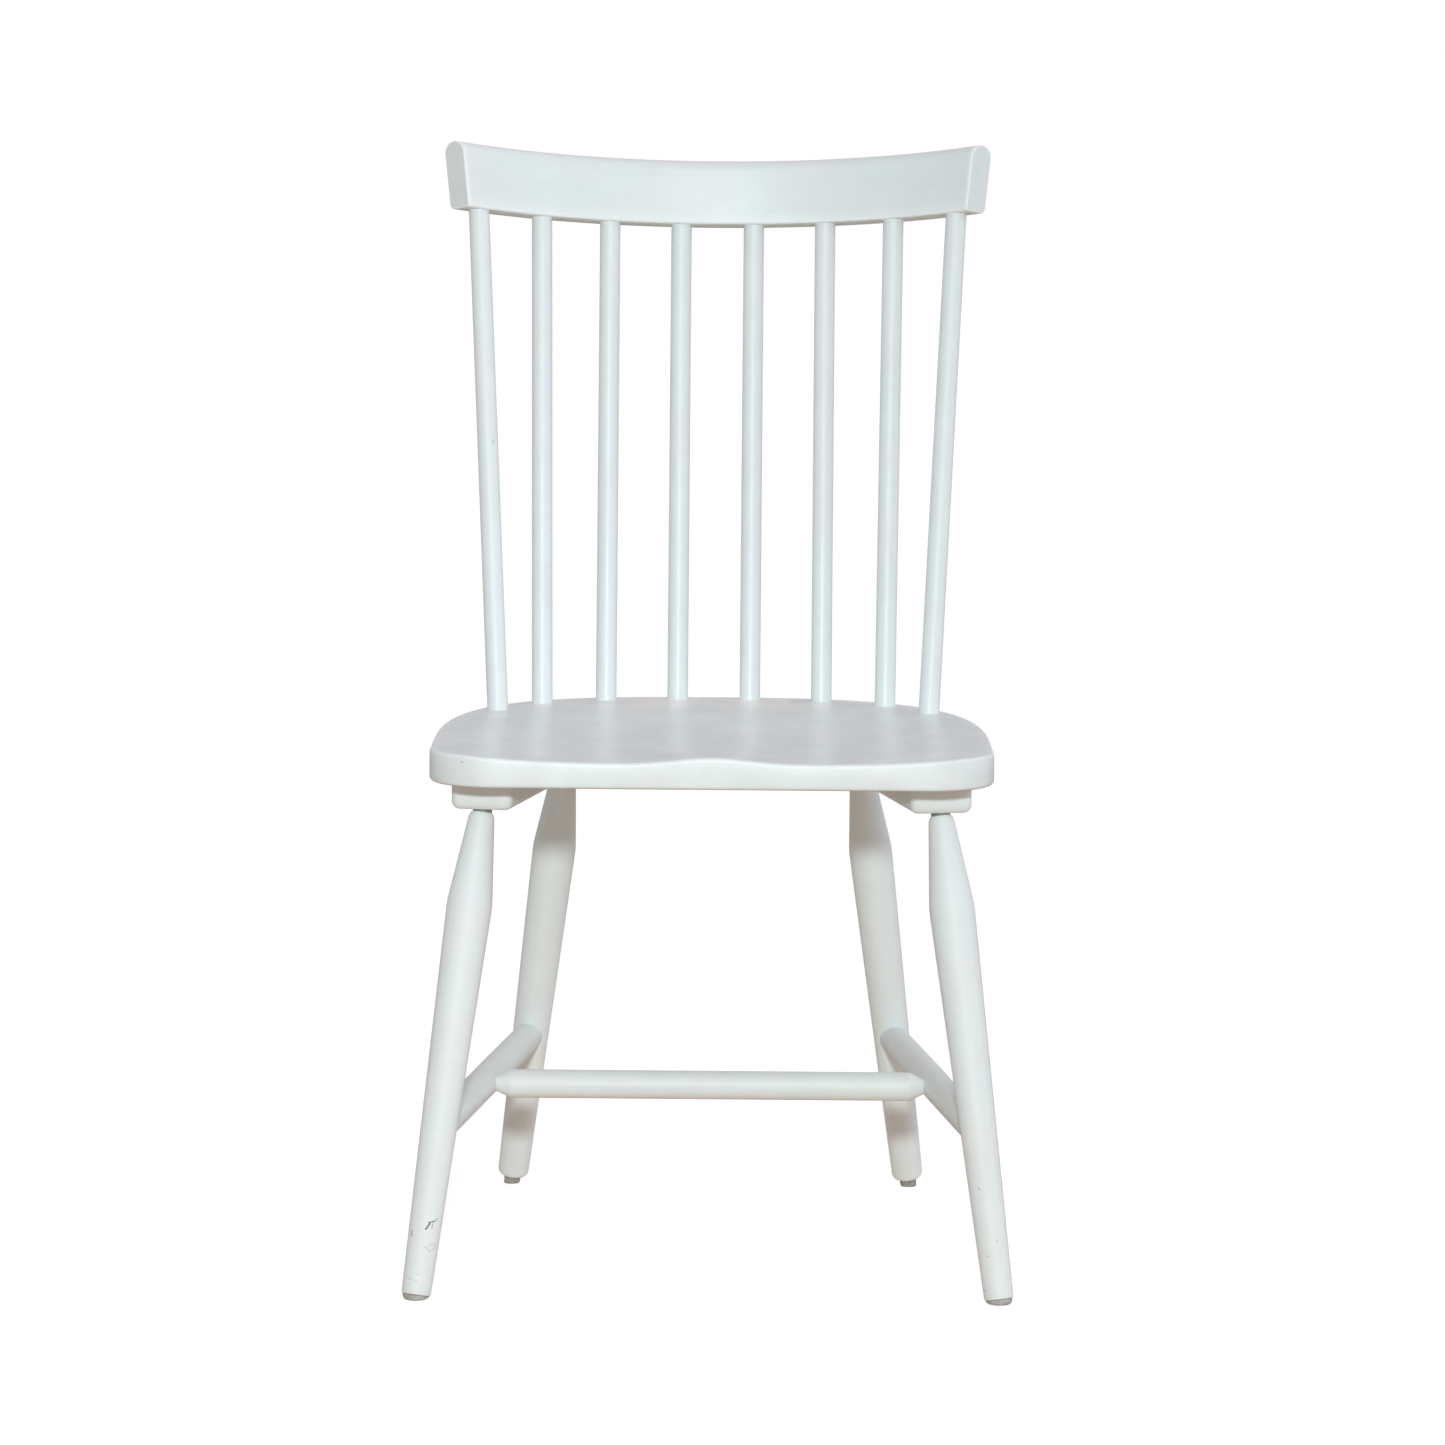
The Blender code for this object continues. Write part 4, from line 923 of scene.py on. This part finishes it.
def make_seat(material):
    """Loops from the underside, round the edge and over the saddle to its middle."""
    outline = seat_outline()
    loops = []
    for angle in quarter_turn(EDGE_STEPS):
        height = SEAT_UNDERSIDE + SEAT_BOTTOM_EDGE_RADIUS * (1 - math.cos(angle))
        edge = inset_outline(outline, SEAT_BOTTOM_EDGE_RADIUS * (1 - math.sin(angle)))
        loops.append([(p.x, p.y, height) for p in edge])
    for angle in quarter_turn(EDGE_STEPS):
        edge = inset_outline(outline, SEAT_TOP_EDGE_RADIUS * (1 - math.cos(angle)))
        loops.append(on_top(edge, SEAT_TOP_EDGE_RADIUS * (1 - math.sin(angle))))
    top = inset_outline(outline, SEAT_TOP_EDGE_RADIUS)
    middle = Vector((0, SEAT_FRONT_Y + SEAT_DEPTH / 2))
    for ring in range(1, SADDLE_RINGS):
        loops.append(on_top([middle + (p - middle) * (1 - ring / SADDLE_RINGS) for p in top]))
    shape = bmesh.new()
    rings = skin(shape, loops)
    close(shape, rings[0], SEAT_BOTTOM_EDGE_RADIUS)
    peak = shape.verts.new(on_top([middle])[0])
    for i in range(len(top)):
        shape.faces.new((rings[-1][i - 1], rings[-1][i], peak))
    paint_piece(piece_from(shape, "seat_board", material), ["seat"], lambda co: co.yzx)


# Crest rail

def crest_section(margin):
    """The rail's cross-section (radius from the bend's centre, height), drawn in by a margin."""
    half = CREST_THICKNESS / 2 - margin
    front, rear = (max(radius - margin, CREST_SHARPEST)
                   for radius in (CREST_FRONT_EDGE_RADIUS, CREST_REAR_EDGE_RADIUS))
    outer = arc((CREST_BEND + half - rear, margin + rear), rear, -QUARTER, 0, EDGE_STEPS)
    inner = arc((CREST_BEND - half + front, margin + front), front, 2 * QUARTER, 3 * QUARTER, EDGE_STEPS)
    turns = [math.pi * i / CREST_TOP_STEPS for i in range(CREST_TOP_STEPS + 1)]
    flank = CREST_HEIGHT - CREST_TOP_ROUND
    rise = CREST_TOP_ROUND - margin
    top = [(CREST_BEND + half * math.cos(a), flank + rise * math.sin(a)) for a in turns]
    shares = [i / CREST_FLANK_STEPS for i in range(1, CREST_FLANK_STEPS)]
    outer_flank = [(CREST_BEND + half, outer[-1][1] * (1 - s) + flank * s) for s in shares]
    inner_flank = [(CREST_BEND - half, flank * (1 - s) + inner[0][1] * s) for s in shares]
    return outer + outer_flank + top + inner_flank + inner


def make_crest(material):
    """The section along the bend, longer towards the top, with eased edges round both ends."""
    end = [(CREST_END_EDGE * (1 - math.sin(a)), CREST_END_EDGE * (1 - math.cos(a)))
           for a in quarter_turn(CREST_END_STEPS)]
    end.append((0, CREST_CAP_BORDER))
    stations = [(-1, back, margin) for back, margin in reversed(end)]
    stations += [(2 * k / CREST_STATIONS - 1, CREST_END_EDGE, 0) for k in range(1, CREST_STATIONS)]
    stations += [(1, back, margin) for back, margin in end]
    loops = []
    for share, back, margin in stations:
        loop = []
        for radius, height in crest_section(margin):
            flare = math.asin(height * math.tan(CREST_END_FLARE) / radius)
            angle = share * (CREST_END_ANGLE + flare - back / radius)
            loop.append(CREST_PLACE @ Vector((radius * math.sin(angle),
                                              radius * math.cos(angle) - CREST_BEND, height)))
        loops.append(loop)
    to_crest = CREST_PLACE.inverted()

    def place(co):
        """Where a point lies in the bent wood."""
        point = to_crest @ co
        radius = math.hypot(point.x, point.y + CREST_BEND)
        return radius, point.z, CREST_BEND * math.atan2(point.x, point.y + CREST_BEND)

    paint_piece(piece_from(solid(loops), "crest_board", material), ["crest_rail"], place)


# Spindles

def make_spindles(tree, material):
    """The eight spindles, which fan out from the seat to the crest."""
    piece = grow("spindle_fan", tree, {
        "Spindles": SPINDLES, "Radius": SPINDLE_RADIUS,
        "Seat Half Width": SEAT_WIDTH / 2 - SPINDLE_ROW_INSET,
        "Seat Curve Depth": SEAT_CURVE_DEPTH - SPINDLE_ROW_INSET,
        "Seat Curve Middle": (0, SEAT_CURVE_Y, SEAT_HEIGHT), "Seat Fullness": SEAT_REAR_FULLNESS,
        "Outer Foot": SEAT_WIDTH / 2 * OUTER_SPINDLE_FOOT_SHARE, "Crest Middle": CREST_MIDDLE,
        "Crest Rake": CREST_RAKE, "Crest Bend": CREST_BEND,
        "Crest Reach": CREST_END_ANGLE - CREST_END_MARGIN / CREST_BEND,
        "Hidden Length": HIDDEN, "Rings": 60, "Sides": 48, "Material": material})
    paint_piece(piece, [f"spindle_{k + 1}" for k in range(SPINDLES)], lambda co: co.xyz)


# Legs, glides and bearers

def leg_line(end, side):
    """Where a leg's axis meets the bearer's underside and the floor, and its direction down."""
    x = SEAT_WIDTH / 2 - TOPS_SIDE_INSET[end]
    top = Vector((SIDES[side] * x, TOPS_Y[end], BEARER_UNDERSIDE))
    floor = Vector((SIDES[side] * (x + LEG_SPLAY[end]), FEET_Y[end], 0))
    return top, floor, (floor - top).normalized()


def make_rod(name, tree, start, end, sizes, nodes, grain_offset):
    """A turned rod from start to end, its grain offset so that no two rods are painted alike."""
    piece = grow(name, tree, {**PLAIN_ROD, "Start": start, "End": end, "Sides": ROD_SIDES, **sizes})
    to_rod = along(start, end).inverted()
    paint_piece(piece, nodes, lambda co: to_rod @ co + Vector(grain_offset))


def make_leg(tree, end, side, material):
    """A leg: neck, rounded shoulder, swell and a long taper to a rounded foot."""
    top, floor, axis = leg_line(end, side)
    neck = LEG_NECK_GAP + LEG_TENON_RADIUS * math.tan(math.acos(-axis.z))
    start = top + axis * neck
    finish = floor - axis * FOOT_STANDOFF[end]
    upper = (LEG_SWELL_RADIUS - LEG_NECK_RADIUS) / LEG_SWELL_DROP
    start_radius = LEG_NECK_RADIUS + upper * neck
    below_swell = (finish - start).length - (LEG_SWELL_DROP - neck)
    make_rod(f"{end}_{side}_turned_leg", tree, start, finish, {
        "Start Radius": start_radius, "Start Flare": upper, "End Radius": FOOT_RADIUS[end],
        "End Flare": (LEG_SWELL_RADIUS - FOOT_RADIUS[end]) / below_swell,
        "Corner Softness": LEG_SWELL_SOFTNESS, "Shoulder Length": LEG_SHOULDER_ROUND,
        "Shoulder Depth": start_radius - LEG_TENON_RADIUS, "Foot Length": FOOT_ROUND[end],
        "Foot Depth": FOOT_ROUND[end], "Neck Radius": LEG_GAP_RADIUS, "Start Neck": HIDDEN,
        "End Neck": -HIDDEN, "Neck Shade": 1.0, "Rings": 200, "Crowding": ROD_CROWDING,
        "Material": material}, [f"{end}_{side}_leg"], (top.x, top.y, 0))


def glide_top(end, side):
    """The middle of a glide's upper face, below it the floor, and the leg's direction down."""
    _, floor, axis = leg_line(end, side)
    return floor - axis * (FOOT_STANDOFF[end] - GLIDE_GAP), floor, axis


def make_glide(end, side, material):
    """A glide: square to the leg above, flat on the floor below, rounded at its edge."""
    top, floor, axis = glide_top(end, side)
    place = along(top, top - axis)
    thickness = FOOT_STANDOFF[end] - GLIDE_GAP
    edge = min(GLIDE_EDGE_ROUND[end], thickness * GLIDE_ROUND_LIMIT)
    widest = GLIDE_TOP_RADIUS[end]
    narrowing = widest - GLIDE_BOTTOM_RADIUS[end]

    def loop(share, radius):
        """A ring between the leg's end (share 0) and the floor (share 1)."""
        points = []
        for spot in turned_loops([(0, radius)], GLIDE_SIDES)[0]:
            upper = place @ Vector(spot)
            lower = Vector((upper.x - top.x + floor.x, upper.y - top.y + floor.y, 0))
            point = upper.lerp(lower, share)
            points.append((point.x, point.y, max(point.z, 0)))
        return points

    loops = [loop(0, widest - 2 * GLIDE_GAP), loop(GLIDE_RIM_SHARE, widest)]
    for step in range(1, GLIDE_STEPS + 1):
        share = (thickness - edge) / thickness * step / GLIDE_STEPS
        loops.append(loop(share, widest - narrowing * share))
    for angle in quarter_turn(GLIDE_STEPS)[1:]:
        share = 1 - edge / thickness * (1 - math.sin(angle))
        loops.append(loop(share, widest - narrowing * share - edge * (1 - math.cos(angle))))
    piece = piece_from(solid(loops, GLIDE_GAP), f"{end}_{side}_round_glide", material)
    wear(piece, [f"{end}_{side}_glide"], "glide_plastic")


def bearer_line(side):
    """A bearer's front leg top, its direction towards the rear leg top, and their distance."""
    front, rear = (leg_line(end, side)[0] for end in ENDS)
    return front, (rear - front).normalized(), (rear - front).length


def make_bearer(side, material):
    """The board over a side's two leg tops, with all its lower edges and corners rounded."""
    front, back, distance = bearer_line(side)
    length = distance + BEARER_FRONT_REACH + BEARER_REAR_REACH
    middle = front + back * (length / 2 - BEARER_FRONT_REACH)
    middle.x -= SIDES[side] * BEARER_LEG_OFFSET
    middle.z = BEARER_TOP - BEARER_THICKNESS / 2
    place = Matrix.Translation(middle) @ Matrix.Rotation(-math.atan2(back.x, back.y), 4, "Z")
    shape = bmesh.new()
    bmesh.ops.create_cube(shape, size=1)
    bmesh.ops.scale(shape, vec=(BEARER_WIDTH, length, BEARER_THICKNESS), verts=shape.verts)
    rounded = [e for e in shape.edges if any(v.co.z < 0 for v in e.verts)]
    bmesh.ops.bevel(shape, geom=rounded, offset=BEARER_EDGE_RADIUS, segments=EDGE_STEPS, profile=0.5,
                    affect="EDGES")
    flats = [face for face in shape.faces if face.calc_area() > BEARER_FLAT_AREA]
    bmesh.ops.inset_individual(shape, faces=flats, thickness=BEARER_FLAT_BORDER)
    bmesh.ops.transform(shape, matrix=place, verts=shape.verts)
    piece = piece_from(shape, f"{side}_bearer_board", material)
    piece.data.set_sharp_from_angle(angle=BEARER_SHARP_ANGLE)
    to_board = place.inverted()
    paint_piece(piece, [f"{side}_bearer"], lambda co: (to_board @ co).xzy)


# Stretchers

def on_leg(end, side, height):
    """The point of a leg's axis at a height above the floor."""
    top, floor, _ = leg_line(end, side)
    return floor.lerp(top, height / top.z)


def make_stretchers(tree, material):
    """A barrelled rod on each side, and one between them with coned ends."""
    rods = {}
    for side, sign in SIDES.items():
        front, rear = (on_leg(end, side, SIDE_STRETCHER_HEIGHT[end]) for end in ENDS)
        make_rod(f"{side}_side_rod", tree, front, rear, {
            "Start Radius": SIDE_STRETCHER_END_RADIUS, "End Radius": SIDE_STRETCHER_END_RADIUS,
            "Belly": SIDE_STRETCHER_MIDDLE_RADIUS - SIDE_STRETCHER_END_RADIUS, "Rings": 80,
            "Material": material}, [f"{side}_side_stretcher"], (sign, 0, 0))
        rods[side] = (front, rear)
    left, right = (front.lerp(rear, MIDDLE_STRETCHER_SHARE) for front, rear in rods.values())
    front, rear = rods["left"]
    face = SIDE_STRETCHER_MIDDLE_RADIUS / abs((rear - front).normalized().y)
    in_from_axis = (right - left).normalized() * (face - MIDDLE_TIP_SUNK)
    flare = (MIDDLE_STRETCHER_RADIUS - MIDDLE_TIP_RADIUS) / MIDDLE_CONE_LENGTH
    make_rod("middle_rod", tree, left + in_from_axis, right - in_from_axis, {
        "Start Radius": MIDDLE_TIP_RADIUS, "Start Flare": flare, "End Radius": MIDDLE_TIP_RADIUS,
        "End Flare": flare, "Full Radius": MIDDLE_STRETCHER_RADIUS,
        "Corner Softness": MIDDLE_CONE_SOFTNESS, "Neck Radius": MIDDLE_TIP_RADIUS, "Start Neck": face,
        "End Neck": face, "Rings": 160, "Crowding": ROD_CROWDING, "Material": material},
        ["middle_stretcher"], (0, 2, 0))


# Hardware

def bolt_fixing():
    """A bolt, head down: shank, domed head and hexagonal key recess."""
    profile = [(HIDDEN, BOLT_RADIUS), (0, BOLT_RADIUS), (0, BOLT_HEAD_RADIUS)]
    for step in range(1, BOLT_DOME_STEPS + 1):
        angle = BOLT_HEAD_DOME * step / BOLT_DOME_STEPS
        profile.append((-BOLT_HEAD_HEIGHT * math.sin(angle) / math.sin(BOLT_HEAD_DOME),
                        BOLT_HEAD_RADIUS * math.cos(angle)))
    loops = turned_loops(profile, BOLT_SIDES)
    half_side = math.pi / 6
    for height in (-BOLT_HEAD_HEIGHT, -BOLT_HEAD_HEIGHT + BOLT_KEY_DEPTH):
        ring = []
        for i in range(BOLT_SIDES):
            turn = FULL_TURN * i / BOLT_SIDES
            corner = (turn + half_side) % (2 * half_side) - half_side
            radius = BOLT_KEY_RADIUS * math.cos(half_side) / math.cos(corner)
            ring.append((radius * math.cos(turn), radius * math.sin(turn), height))
        loops.append(ring)
    return solid(loops)


def washer_fixing():
    """A flat washer whose four edges are slightly eased, its upper face at zero."""
    inner, outer = BOLT_RADIUS, WASHER_RADIUS
    ease, low = WASHER_EDGE, -WASHER_THICKNESS
    profile = [(0, inner + ease), (0, outer - ease), (-ease, outer), (low + ease, outer),
               (low, outer - ease), (low, inner + ease), (low + ease, inner), (-ease, inner)]
    shape = bmesh.new()
    skin(shape, turned_loops(profile, WASHER_SIDES), hollow=True)
    return shape


def nail_fixing():
    """A nail, point up, with a flat head at zero."""
    shank = NAIL_LENGTH - NAIL_HEAD_THICKNESS
    return solid(turned_loops([
        (0, NAIL_HEAD_RADIUS - WASHER_EDGE), (WASHER_EDGE, NAIL_HEAD_RADIUS),
        (NAIL_HEAD_THICKNESS, NAIL_HEAD_RADIUS), (NAIL_HEAD_THICKNESS, NAIL_RADIUS),
        (shank - NAIL_POINT_LENGTH, NAIL_RADIUS), (shank, NAIL_TIP_RADIUS)], NAIL_SIDES))


def place_fixings(name, tree, fixing, spots, nodes, slot, material, seed):
    """Grows one fixing at each spot (place, axis), and removes the pattern it was copied from."""
    pattern = piece_from(fixing, f"{name}_pattern", material)
    mesh = bpy.data.meshes.new(name)
    mesh.from_pydata([place for place, _ in spots], [], [])
    axes = [value for _, axis in spots for value in axis]
    mesh.attributes.new("axis", "FLOAT_VECTOR", "POINT").data.foreach_set("vector", axes)
    piece = grow(name, tree, {"Fixing": pattern, "Turn Seed": seed, "Material": material}, mesh)
    bpy.data.objects.remove(pattern)
    piece.data.set_sharp_from_angle(angle=FIXING_SHARP_ANGLE)
    wear(piece, nodes, slot)


def make_hardware(tree, bolt_steel, nail_steel, insert_zinc):
    """Bolts with their washers under the bearers, nails in the glides, and the inserts' finish."""
    bolts, washers, nails, names = [], [], [], []
    up = Vector((0, 0, 1))
    for side in SIDES:
        front, back, distance = bearer_line(side)
        for end, reach in zip(ENDS, (BOLT_FROM_LEG, distance - BOLT_FROM_LEG)):
            spot = front + back * reach
            spot.z = BEARER_UNDERSIDE - BEARER_GAP
            washers.append((spot, up))
            bolts.append((spot - up * (WASHER_THICKNESS + BEARER_GAP), up))
            top, _, axis = glide_top(end, side)
            nails.append((top + axis * NAIL_HEAD_DEPTH, -axis))
            names.append(f"{end}_{side}")
    for name, fixing, spots, kind, slot, material, seed in (
            ("seat_bolts", bolt_fixing(), bolts, "bolt", "bolt_steel", bolt_steel, 3),
            ("bolt_washers", washer_fixing(), washers, "washer", "bolt_steel", bolt_steel, 5),
            ("glide_nails", nail_fixing(), nails, "glide_nail", "nail_steel", nail_steel, 7)):
        place_fixings(name, tree, fixing, spots, [f"{n}_{kind}" for n in names], slot, material, seed)
    for name in names:
        for material_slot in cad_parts[f"{name}_insert"].material_slots:
            material_slot.material = insert_zinc


# Stage, light and camera

def make_floor():
    """A floor that looks white, keeps the chair's shadow and sends warm light back up."""
    size = FLOOR_SIZE / 2
    mesh = bpy.data.meshes.new("floor")
    mesh.from_pydata([(-size, -size, 0), (size, -size, 0), (size, size, 0), (-size, size, 0)], [],
                     [(0, 1, 2, 3)])
    material, net = new_material("white_floor")
    net.tree.nodes.remove(net.last)
    net.last = net.tree.nodes["Material Output"]
    glow = net.shader("Emission", {"Color": WHITE, "Strength": FLOOR_GLOW})
    seen = net.shader("AddShader", {0: net.shader("BsdfDiffuse", {"Color": FLOOR_SEEN}), 1: glow})
    away = net.length(net.object_place())
    warm = net.blend(net.ramp(away, *BOUNCE_FADE), FLOOR_BOUNCE, FLOOR_BOUNCE_FAR)
    mirrored = net.blend(net.ramp(away, *GLOSS_FADE), FLOOR_GLOSS, FLOOR_GLOSS_FAR)
    unseen = net.shader("MixShader", {0: net.ray("Glossy"), 1: net.shader("BsdfDiffuse", {"Color": warm}),
                                      2: net.shader("Emission", {"Color": mirrored})})
    net.give({"Surface": net.shader("MixShader", {0: net.ray("Camera"), 1: unseen, 2: seen})})
    mesh.materials.append(material)
    link("floor", mesh)


def make_world():
    """White where it is seen, a room with a dimmer rear in a gloss, and as light bright at the
    rear and brightest high on the right."""
    world = bpy.data.worlds.new("studio")
    bpy.context.scene.world = world
    world.use_nodes = True
    net = Wiring(world.node_tree, world.node_tree.nodes["Background"])
    direction = net.shader("TexCoord", output="Generated")
    x, y, z = (net.part(direction, axis) for axis in "XYZ")
    light = net.blend(net.ramp(y, *TOWARDS_BACK), WORLD_FRONT, WORLD_BACK)
    light = net.blend(net.ramp(x, *TOWARDS_LEFT), light, WORLD_LEFT)
    right = net.blend(net.ramp(z, *TOWARDS_RIGHT_HIGH), WORLD_RIGHT, WORLD_RIGHT_HIGH)
    light = net.blend(net.ramp(x, *TOWARDS_RIGHT), light, right)
    light = net.blend(net.ramp(z, *TOWARDS_ABOVE), light, WORLD_ABOVE)
    behind = net.ramp(y, *GLOSS_TOWARDS_BACK) * net.ramp(z, *GLOSS_TOWARDS_LOW)
    colour = net.blend(net.ray("Glossy"), light, net.blend(behind, GLOSS_ROOM, GLOSS_BEHIND))
    net.give({"Color": net.blend(net.ray("Camera"), colour, WHITE)})


def make_lights():
    """One round softbox in front, aimed a little to the left."""
    lamp = bpy.data.lights.new("front_softbox", "AREA")
    lamp.shape = "DISK"
    lamp.size = KEY_SIZE
    lamp.energy = KEY_POWER
    lamp.color = KEY_COLOUR
    lamp.spread = KEY_SPREAD
    back = Vector((0, -math.cos(KEY_ELEVATION), math.sin(KEY_ELEVATION))) * KEY_DISTANCE
    place = Vector((0, 0, SEAT_HEIGHT)) + back
    towards = (back - Vector(KEY_AIM)).to_track_quat("Z", "Y")
    softbox = link("front_softbox", lamp)
    softbox.matrix_world = Matrix.Translation(place) @ towards.to_matrix().to_4x4()


def make_camera():
    """The camera that the photo was taken with, as measured from the photo."""
    data = bpy.data.cameras.new("photo_view")
    data.sensor_width = SENSOR
    data.lens = CAMERA_LENS
    camera = link("photo_view", data)
    camera.matrix_world = (Matrix.Translation(CAMERA_PLACE)
                           @ Matrix.Rotation(CAMERA_TURN, 4, "Z")
                           @ Matrix.Rotation(QUARTER - CAMERA_PITCH, 4, "X")
                           @ Matrix.Rotation(CAMERA_ROLL, 4, "Z"))
    bpy.context.scene.camera = camera


def make_chair():
    """Every piece of the chair with its finish."""
    groups = {"brushed_paint": brushed_paint_group(), "edge_wear": edge_wear_group(),
              "paint_mark": paint_mark_group(), "floor_dirt": floor_dirt_group(),
              "machine_finish": machine_finish_group()}
    board_paint = painted_wood("board_paint", groups, blotches=0.7, roughness=0.43, edge_highlight=0.8)
    seat_paint = painted_wood("seat_paint", groups, brush_lines=0.25, roughness=0.31, blotches=0.4,
                              mottle=0.20, is_seat=True, marks=SEAT_MARKS)
    turned_paint = painted_wood("turned_paint", groups, roughness=0.41, ringed=True, marks=SPINDLE_MARKS)
    stretcher_paint = painted_wood("stretcher_paint", groups, roughness=0.52)
    leg_paint = painted_wood("leg_paint", groups, roughness=0.54, dirty_feet=True, marks=FOOT_MARKS)
    metals = [machined(f"{name}_finish", groups, *values) for name, values in
              (("bolt_steel", BOLT_STEEL), ("nail_steel", NAIL_STEEL), ("insert_zinc", INSERT_ZINC))]
    rod_tree = turned_rod_tree()
    make_seat(seat_paint)
    make_crest(board_paint)
    make_spindles(spindle_fan_tree(), turned_paint)
    for end in ENDS:
        plastic = machined(f"{end}_glide_finish_and_shade", groups, *GLIDE_PLASTIC_AND_SHADE[end])
        for side in SIDES:
            make_leg(rod_tree, end, side, leg_paint)
            make_glide(end, side, plastic)
    for side in SIDES:
        make_bearer(side, board_paint)
    make_stretchers(rod_tree, stretcher_paint)
    make_hardware(fixings_tree(), *metals)


bpy.context.scene.view_settings.view_transform = "Standard"
make_world()
make_floor()
make_lights()
make_camera()
make_chair()
